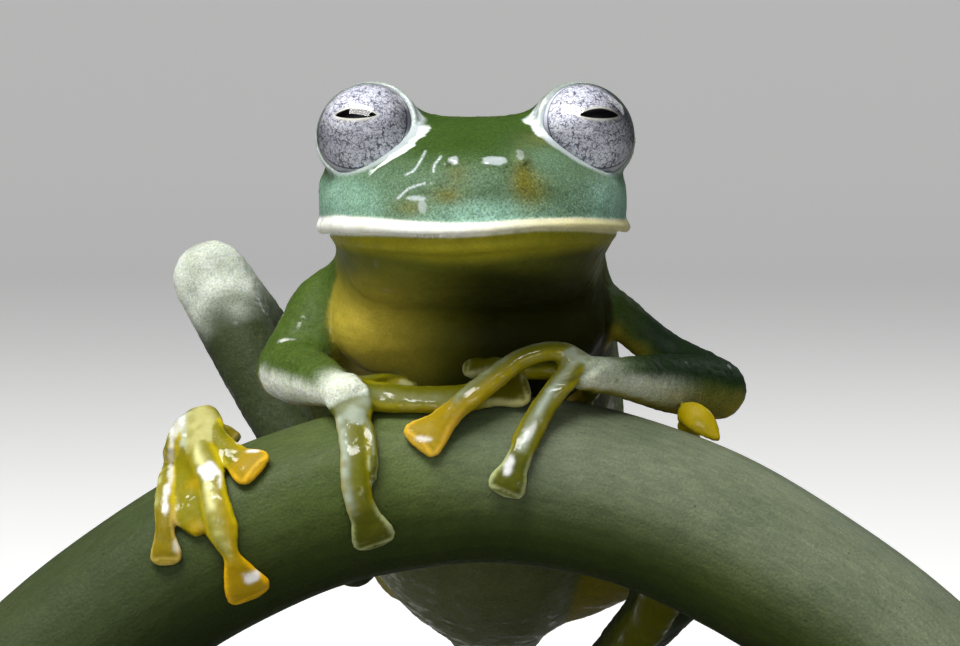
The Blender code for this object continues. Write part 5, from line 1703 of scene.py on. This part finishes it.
@dataclass(frozen=True)
class StemFinish:
    """Living plant stem: olive green under a grey bloom, with fine fibres, a few dark specks, and painted shade towards
    its right end and on its underside.
    """

    def build(self) -> bpy.types.Material:
        """Builds the material from the stem's own places."""
        material, board, shader = new_material("stem_rind")
        place = board.attribute("stem_place").outputs["Vector"]
        parts = board.add("SeparateXYZ", Vector=place)
        bloom = board.attribute("stem_bloom").outputs["Fac"]
        stretched = board.add("Mapping", {"vector_type": "POINT"}, Vector=place)
        stretched.inputs["Scale"].default_value = (0.3, 1.0, 1.0)
        fibres = board.add("TexNoise", Vector=stretched.outputs[0], Scale=5.0, Detail=6.0, Roughness=0.7)
        clouds = board.group(mottle_group(), Place=place, Density=0.35, Contrast=0.2)
        grain = board.group(grain_group(), Place=place, Density=9.0, Softness=0.3)
        green = board.mix(clouds.outputs["Mask"], (0.034, 0.056, 0.003), (0.056, 0.082, 0.006))
        grey = board.mix(clouds.outputs["Mask"], (0.085, 0.106, 0.066), (0.125, 0.147, 0.096))
        # Painted shade: the green darkens towards the stem's right end (-X).
        right_end_shade = board.mix(board.span(parts.outputs[0], -12.0, -2.5, 0.93, 0.0), green, (0.012, 0.022, 0.001))
        facing = board.add("SeparateXYZ", Vector=board.add("NewGeometry").outputs["Normal"])
        # Painted shade: the underside darkens where its normal points down.
        below = board.span(facing.outputs[2], 0.1, -0.8, 0.0, 0.85)
        ground = board.mix(below, board.mix(bloom, right_end_shade, grey), (0.008, 0.014, 0.001))
        streaked = board.mix(board.span(fibres.outputs["Fac"], 0.35, 0.65), ground, (1.4, 1.38, 1.3), "MULTIPLY")
        dusted = board.mix(board.span(grain.outputs["Speck"], 0.5, 0.7, 0.0, 0.5), streaked, (1.5, 1.5, 1.4), "MULTIPLY")
        spots = board.add("TexVoronoi", {"feature": "F1"}, Vector=place, Scale=1.5)
        chosen = board.span(board.add("SeparateColor", Color=spots.outputs["Color"]).outputs[0], 0.55, 0.6)
        dark_spots = board.maths("MULTIPLY", board.span(spots.outputs["Distance"], 0.03, 0.08, 0.8, 0.0), chosen)
        pitted = board.mix(board.span(grain.outputs["Speck"], 0.46, 0.3, 0.0, 0.5), dusted, (0.6, 0.65, 0.55), "MULTIPLY")
        spotted = board.mix(dark_spots, pitted, (0.3, 0.28, 0.2), "MULTIPLY")
        pith = board.mix(board.span(grain.outputs["Speck"], 0.42, 0.56), (0.20, 0.25, 0.07), (0.42, 0.46, 0.22))
        cut = board.mix(board.span(parts.outputs[2], 0.08, 0.14), spotted, pith)
        board.feed(shader.inputs["Base Color"], cut)
        board.feed(shader.inputs["Roughness"], board.span(clouds.outputs["Fine"], 0.0, 1.0, 0.42, 0.6))
        height = board.maths("ADD", board.maths("MULTIPLY", fibres.outputs["Fac"], 0.4), grain.outputs["Height"])
        bump = board.add("Bump", Strength=0.8, Distance=0.00003, Height=height)
        board.feed(shader.inputs["Normal"], bump.outputs[0])
        shader.inputs["Specular IOR Level"].default_value = 0.12
        shader.inputs["Subsurface Weight"].default_value = 0.1
        shader.inputs["Subsurface Radius"].default_value = (0.6, 1.0, 0.3)
        shader.inputs["Subsurface Scale"].default_value = 0.0005
        return material


@dataclass(frozen=True)
class StandFinish:
    """Matt grey finish of the base, or brushed metal of the rods."""

    name: str
    dark: tuple[float, float, float]
    light: tuple[float, float, float]
    metallic: float
    roughness: tuple[float, float]
    stretch: tuple[float, float, float]

    def build(self) -> bpy.types.Material:
        """Builds the material."""
        material, board, shader = new_material(self.name)
        place = board.add("TexCoord").outputs["Object"]
        stretched = board.add("Mapping", Vector=place)
        stretched.inputs["Scale"].default_value = self.stretch
        grain = board.group(grain_group(), Place=stretched.outputs[0], Density=5000.0, Softness=0.6)
        clouds = board.group(mottle_group(), Place=place, Density=90.0, Contrast=0.25)
        toned = board.mix(board.span(grain.outputs["Speck"], 0.35, 0.7), self.dark, self.light)
        board.feed(shader.inputs["Base Color"], board.mix(board.maths("MULTIPLY", clouds.outputs["Mask"], 0.3), toned, self.dark))
        board.feed(shader.inputs["Roughness"], board.span(clouds.outputs["Fine"], 0.0, 1.0, *self.roughness))
        shader.inputs["Metallic"].default_value = self.metallic
        bump = board.add("Bump", Strength=0.4, Distance=0.00001, Height=grain.outputs["Height"])
        board.feed(shader.inputs["Normal"], bump.outputs[0])
        return material


BASE_FINISH = StandFinish("stand_grey", (0.16, 0.16, 0.16), (0.22, 0.22, 0.22), 0.0, (0.5, 0.62), (1.0, 1.0, 1.0))
ROD_FINISH = StandFinish("stand_metal", (0.45, 0.45, 0.46), (0.66, 0.66, 0.67), 1.0, (0.28, 0.4), (1.0, 1.0, 0.04))


# Pieces


@dataclass
class FrogEye:
    """One eye: a silver iris round a deep pupil, under a clear cornea."""

    side: Side
    rings: int = 56
    sides: int = 160
    iris_radius: float = 1.84
    pupil_rise: float = 0.17
    pupil_half: tuple[float, float] = (0.78, 0.2)
    pupil_depth: float = 0.55

    def dome(self, flat: np.ndarray, radius: float) -> np.ndarray:
        """Points of the front of a sphere from their inward and lift places."""
        centre, gaze, inward, lift = EyeFrame(self.side).parts()
        depth = np.sqrt(np.maximum(radius**2 - (flat**2).sum(1), 0.0))
        return centre + np.outer(depth, gaze) + np.outer(flat[:, 0], inward) + np.outer(flat[:, 1], lift)

    def build_iris(self) -> bpy.types.Object:
        """The iris, with the walls and the black floor of the pupil."""
        turn = np.linspace(0.0, 2.0 * math.pi, self.sides, endpoint=False)
        half_long, half_high = self.pupil_half
        spindle = np.column_stack([np.cos(turn) * half_long, np.sign(np.sin(turn)) * np.abs(np.sin(turn)) ** 1.5 * half_high])
        spindle[:, 1] += self.pupil_rise
        limbus = math.sqrt(self.iris_radius**2 - (HEAD.limbus_depth - 0.2) ** 2)
        circle = np.column_stack([np.cos(turn), np.sin(turn)]) * limbus
        rings, places = [], []
        centre, gaze, _, _ = EyeFrame(self.side).parts()
        for deep, scale in ((1.0, 0.35), (0.9, 0.8), (0.5, 0.97), (0.12, 1.0)):
            flat = (spindle - (0.0, self.pupil_rise)) * scale + (0.0, self.pupil_rise)
            rings.append(self.dome(flat, self.iris_radius) - gaze * self.pupil_depth * deep)
            places.append(np.column_stack([flat, np.full(self.sides, -deep)]))
        shares = np.linspace(0.0, 1.0, self.rings) ** 1.15
        for share in shares:
            flat = spindle * (1.0 - share) + circle * share
            rings.append(self.dome(flat, self.iris_radius))
            places.append(np.column_stack([flat, np.full(self.sides, share)]))
        back = centre + gaze * (HEAD.limbus_depth - 0.6)
        rings.append(back + (rings[-1] - back) * 0.3)
        places.append(places[-1])
        shell = loft(rings)
        name = f"frog_eye_{self.side.name.lower()}"
        obj = mesh_object(name, shell)
        whole = np.vstack([*places, np.array([[0.0, 0.0, -1.0], [0.0, 0.0, 1.0]])])
        write_attribute(obj.data, "iris_place", whole)
        obj.data.materials.append(IrisFinish().build())
        obj.data.materials.append(PupilFinish().build())
        inner = 4 * self.sides
        for face in obj.data.polygons:
            if all(corner < inner or corner == len(shell.points) - 2 for corner in face.vertices):
                face.material_index = 1
        return obj

    def build_cornea(self) -> bpy.types.Object:
        """The clear dome over the iris, as a thin shell."""
        turn = np.linspace(0.0, 2.0 * math.pi, 96, endpoint=False)
        circle = np.column_stack([np.cos(turn), np.sin(turn)])
        limbus = math.sqrt(HEAD.eye_radius**2 - (HEAD.limbus_depth - 0.2) ** 2)
        shares = np.linspace(0.04, 1.0, 26)
        outer = [self.dome(circle * limbus * share, HEAD.eye_radius) for share in shares]
        return mesh_object(f"frog_cornea_{self.side.name.lower()}", self.cap(outer))

    @staticmethod
    def cap(rings: list[np.ndarray]) -> Shell:
        """An open dome over rings, closed at its top."""
        closed = loft(rings)
        last = len(closed.points) - 1
        return Shell(closed.points[:-1], [face for face in closed.faces if last not in face])

    def build(self) -> list[bpy.types.Object]:
        """Builds and places the eye."""
        iris = self.build_iris()
        cornea = self.build_cornea()
        cornea.data.materials.append(CorneaFinish().build())
        for piece in (iris, cornea):
            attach(piece, "root")
        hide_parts(f"eye_{self.side.name.lower()}")
        return [iris, cornea]


@dataclass
class PlantStem:
    """The cut length of stem, with shallow ribs and a sunken pith at its ends."""

    sides: int = 140
    pieces: int = 420
    ribs: int = 23
    rib_height: float = 0.005

    def build(self) -> bpy.types.Object:
        """Builds and places the stem."""
        turn = np.linspace(0.0, 2.0 * math.pi, self.sides, endpoint=False)
        rings, places, bloom = [], [], []
        rng = np.random.default_rng(7)
        phases = rng.uniform(0.0, 2.0 * math.pi, 6)
        for x in np.linspace(-STEM.half_span, STEM.half_span, self.pieces + 1):
            rings.append(self.ring(x, turn, phases, 1.0))
            places.append(np.column_stack([np.full(self.sides, x), turn * STEM.radius, np.zeros(self.sides)]))
            bloom.append(self.bloom(x, turn))
        for end, index in ((-1.0, 0), (1.0, -1)):
            x = end * STEM.half_span
            for scale, sink in ((0.985, -0.015), (0.93, 0.0), (0.88, 0.05), (0.55, 0.04), (0.5, 0.1), (0.2, 0.12)):
                ring = self.ring(x, turn, phases, scale)
                along = np.array([1.0, 0.0, -2.0 * STEM.bend * x])
                ring -= unit(along) * end * sink
                place = np.column_stack([np.full(self.sides, x), turn * STEM.radius * scale, np.full(self.sides, 1.0 - scale)])
                if end < 0:
                    rings.insert(0, ring)
                    places.insert(0, place)
                    bloom.insert(0, np.full(self.sides, 0.5))
                else:
                    rings.append(ring)
                    places.append(place)
                    bloom.append(np.full(self.sides, 0.5))
        obj = mesh_object("plant_stem", loft(rings))
        ends = np.array([places[0][0], places[-1][0]])
        write_attribute(obj.data, "stem_place", np.vstack([*places, ends]))
        write_attribute(obj.data, "stem_bloom", np.concatenate([*bloom, [0.5, 0.5]]))
        obj.data.materials.append(StemFinish().build())
        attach(obj, "root")
        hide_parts("perch_stem")
        return obj

    def ring(self, x: float, turn: np.ndarray, phases: np.ndarray, scale: float) -> np.ndarray:
        """One ring of the stem, with its ribs and slow swellings."""
        slope = math.atan(2.0 * STEM.bend * x)
        normal = np.array([math.sin(slope), 0.0, math.cos(slope)])
        ribs = np.cos(turn * self.ribs + 0.35 * math.sin(x * 0.3 + phases[0])) * self.rib_height
        slow = 0.03 * np.sin(x * 0.45 + phases[1] + turn) + 0.02 * np.sin(x * 1.1 + phases[2] - 2 * turn)
        radius = ((STEM.radius - 0.02) + ribs + slow) * scale
        middle = np.array([x, 0.0, STEM.height(x)])
        return middle + np.outer(np.cos(turn) * radius, normal) + np.outer(np.sin(turn) * radius, (0.0, 1.0, 0.0))

    @staticmethod
    def bloom(x: float, turn: np.ndarray) -> np.ndarray:
        """How much grey bloom lies on the stem: more on top and towards the frog's left."""
        top = np.cos(turn)
        along = np.array(x) - 2.0 * np.sin(turn)
        return np.clip(0.12 + 0.8 * smoothstep(-0.75, 0.35, top) * smoothstep(-2.5, 5.0, along) + 0.12 * top, 0.0, 1.0)


@dataclass
class DisplayStand:
    """Flat base with rounded corners and two rods with small collars."""

    size: tuple[float, float, float] = (44.0, 34.0, 3.0)
    corner: float = 4.0
    rod_radius: float = 1.0
    rod_offset: float = 13.5
    gap: float = 0.3

    def base_ring(self, inset: float, z: float) -> np.ndarray:
        """Outline of the base at one height."""
        points = []
        half_x, half_y = self.size[0] / 2.0, self.size[1] / 2.0
        radius = self.corner
        for sign_x, sign_y, start in ((1, 1, 0), (-1, 1, 90), (-1, -1, 180), (1, -1, 270)):
            for angle in np.radians(np.linspace(start, start + 90, 16)):
                x = sign_x * (half_x - radius) + math.cos(angle) * (radius - inset)
                y = sign_y * (half_y - radius) + math.sin(angle) * (radius - inset)
                points.append((x, y - PERCH_SHIFT_Y, z))
        return np.array(points)

    def build(self) -> list[bpy.types.Object]:
        """Builds and places base and rods."""
        high = self.size[2]
        rows = [(0.35, 0.0), (0.1, 0.1), (0.0, 0.35), (0.0, 0.7), (0.12, 0.8), (0.12, 0.95), (0.0, 1.05), (0.0, high - 0.5)]
        rows += [(0.5 * (1.0 - math.cos(a)), high - 0.5 + 0.5 * math.sin(a)) for a in np.radians((20, 40, 60, 80, 90))]
        rows += [(1.2, high), (2.5, high), (3.6, high)]
        base = mesh_object("stand_plinth", loft([self.base_ring(*row) for row in rows]))
        base.data.set_sharp_from_angle(angle=math.radians(40.0))
        base.data.materials.append(BASE_FINISH.build())
        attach(base, "root")
        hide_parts("stand_base")
        made = [base]
        finish = ROD_FINISH.build()
        for side in Side:
            made.append(self.rod(side, finish))
        return made

    def rod(self, side: Side, finish: bpy.types.Material) -> bpy.types.Object:
        """One rod with a collar on the base and a flat top set a little into the underside of the stem."""
        x = side.value * self.rod_offset
        foot = self.size[2]
        top = STEM.height(x) - STEM.radius / math.cos(math.atan(2.0 * STEM.bend * x)) + 0.25
        r = self.rod_radius
        rows = [(0.3, foot), (r * 1.75, foot), (r * 1.75, foot + 0.35), (r * 1.6, foot + 0.5), (r * 1.15, foot + 0.7), (r, foot + 0.8)]
        rows += [(r, z) for z in np.linspace(foot + 1.0, top - 0.6, 14)]
        rows += [(r * 1.0, top - 0.4), (r * 0.98, top), (0.3, top)]
        obj = mesh_object(f"stand_post_{side.name.lower()}", turned(rows, np.array([x, 0.0, 0.0]), np.array([0.0, 0.0, 1.0]), 64))
        obj.data.set_sharp_from_angle(angle=math.radians(35.0))
        obj.data.materials.append(finish)
        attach(obj, "root")
        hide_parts(f"stand_rod_{side.name.lower()}")
        return obj


@dataclass
class Studio:
    """Pale floor that curves up into a wall all round, soft lamps and the camera."""

    floor_radius: float = 0.9
    wall_height: float = 1.6
    lens: float = 200.7
    camera_place: tuple[float, float, float] = (0.0, -0.19688, 0.02823)
    camera_tilt_deg: float = 88.0

    def build_backdrop(self) -> bpy.types.Object:
        """The pale floor and wall."""
        turn = np.linspace(0.0, 2.0 * math.pi, 96, endpoint=False)
        circle = np.column_stack([np.cos(turn), np.sin(turn), np.zeros(96)])
        bend = 0.4
        rows = [(0.05, 0.0), (0.2, 0.0), (0.5, 0.0), (self.floor_radius, 0.0)]
        rows += [(self.floor_radius + bend * math.sin(a), bend * (1.0 - math.cos(a))) for a in np.radians(np.arange(10, 91, 10))]
        rows += [(self.floor_radius + bend, self.wall_height)]
        rings = [circle * radius + np.array([0.0, 0.0, height]) for radius, height in rows]
        shell = FrogEye.cap(rings)
        mesh = bpy.data.meshes.new("backdrop")
        mesh.from_pydata(shell.points.tolist(), [], shell.faces)
        mesh.shade_smooth()
        obj = bpy.data.objects.new("backdrop", mesh)
        bpy.context.scene.collection.objects.link(obj)
        material, board, shader = new_material("backdrop_paper")
        clouds = board.group(mottle_group(), Place=board.add("TexCoord").outputs["Object"], Density=9.0, Contrast=0.4)
        paper = board.mix(clouds.outputs["Mask"], (0.80, 0.80, 0.79), (0.84, 0.84, 0.83))
        seen = board.add("LightPath").outputs["Is Camera Ray"]
        board.feed(shader.inputs["Base Color"], board.mix(seen, (0.3, 0.3, 0.3), paper))
        board.feed(shader.inputs["Emission Color"], board.mix(seen, (0.0, 0.0, 0.0), (0.34, 0.34, 0.34)))
        shader.inputs["Emission Strength"].default_value = 1.0
        shader.inputs["Roughness"].default_value = 0.9
        mesh.materials.append(material)
        return obj

    @staticmethod
    def add_lamp(name: str, place: Sequence[float], size: tuple[float, float], power: float, colour: Sequence[float]) -> None:
        """Adds a soft lamp that points at the frog."""
        light = bpy.data.lights.new(name, "AREA")
        light.shape = "RECTANGLE"
        light.size, light.size_y = size
        light.energy = power
        light.color = colour
        obj = bpy.data.objects.new(name, light)
        obj.location = place
        target = Vector((0.0, -0.005, 0.02))
        obj.rotation_euler = (target - Vector(place)).to_track_quat("-Z", "Y").to_euler()
        bpy.context.scene.collection.objects.link(obj)

    def build(self) -> None:
        """Builds backdrop, lamps, sky and camera."""
        self.build_backdrop()
        self.add_lamp("key_lamp", (-0.11, -0.18, 0.36), (0.3, 0.17), 2.5, (1.0, 0.99, 0.97))
        self.add_lamp("left_lamp", (-0.34, -0.26, 0.1), (0.36, 0.3), 0.35, (1.0, 1.0, 1.0))
        self.add_lamp("fill_lamp", (0.04, -0.5, 0.04), (0.4, 0.3), 0.95, (1.0, 1.0, 1.0))
        self.add_lamp("rim_lamp", (0.3, 0.3, 0.3), (0.2, 0.2), 0.3, (0.95, 0.98, 1.0))
        world = bpy.data.worlds.new("soft_sky")
        world.use_nodes = True
        background = world.node_tree.nodes["Background"]
        background.inputs["Color"].default_value = (0.95, 0.97, 1.0, 1.0)
        background.inputs["Strength"].default_value = 0.15
        bpy.context.scene.world = world
        camera = bpy.data.cameras.new("photo_camera")
        camera.lens = self.lens
        camera.sensor_width = 36.0
        camera.clip_start = 0.01
        camera.clip_end = 20.0
        obj = bpy.data.objects.new("photo_camera", camera)
        obj.location = self.camera_place
        obj.rotation_euler = (math.radians(self.camera_tilt_deg), 0.0, 0.0)
        bpy.context.scene.collection.objects.link(obj)
        bpy.context.scene.camera = obj
        bpy.context.scene.view_settings.view_transform = "Standard"


def main() -> None:
    """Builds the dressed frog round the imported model."""
    logging.basicConfig(level=logging.INFO, format="%(message)s")
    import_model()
    Studio().build()
    LOG.info("studio ready")
    for obj in DisplayStand().build():
        LOG.info("built %s", obj.name)
    LOG.info("built %s", PlantStem().build().name)
    for side in Side:
        for obj in FrogEye(side).build():
            LOG.info("built %s", obj.name)
    LOG.info("built %s", FrogSkin().build().name)
    bpy.context.view_layer.update()


if __name__ == "__main__":
    main()
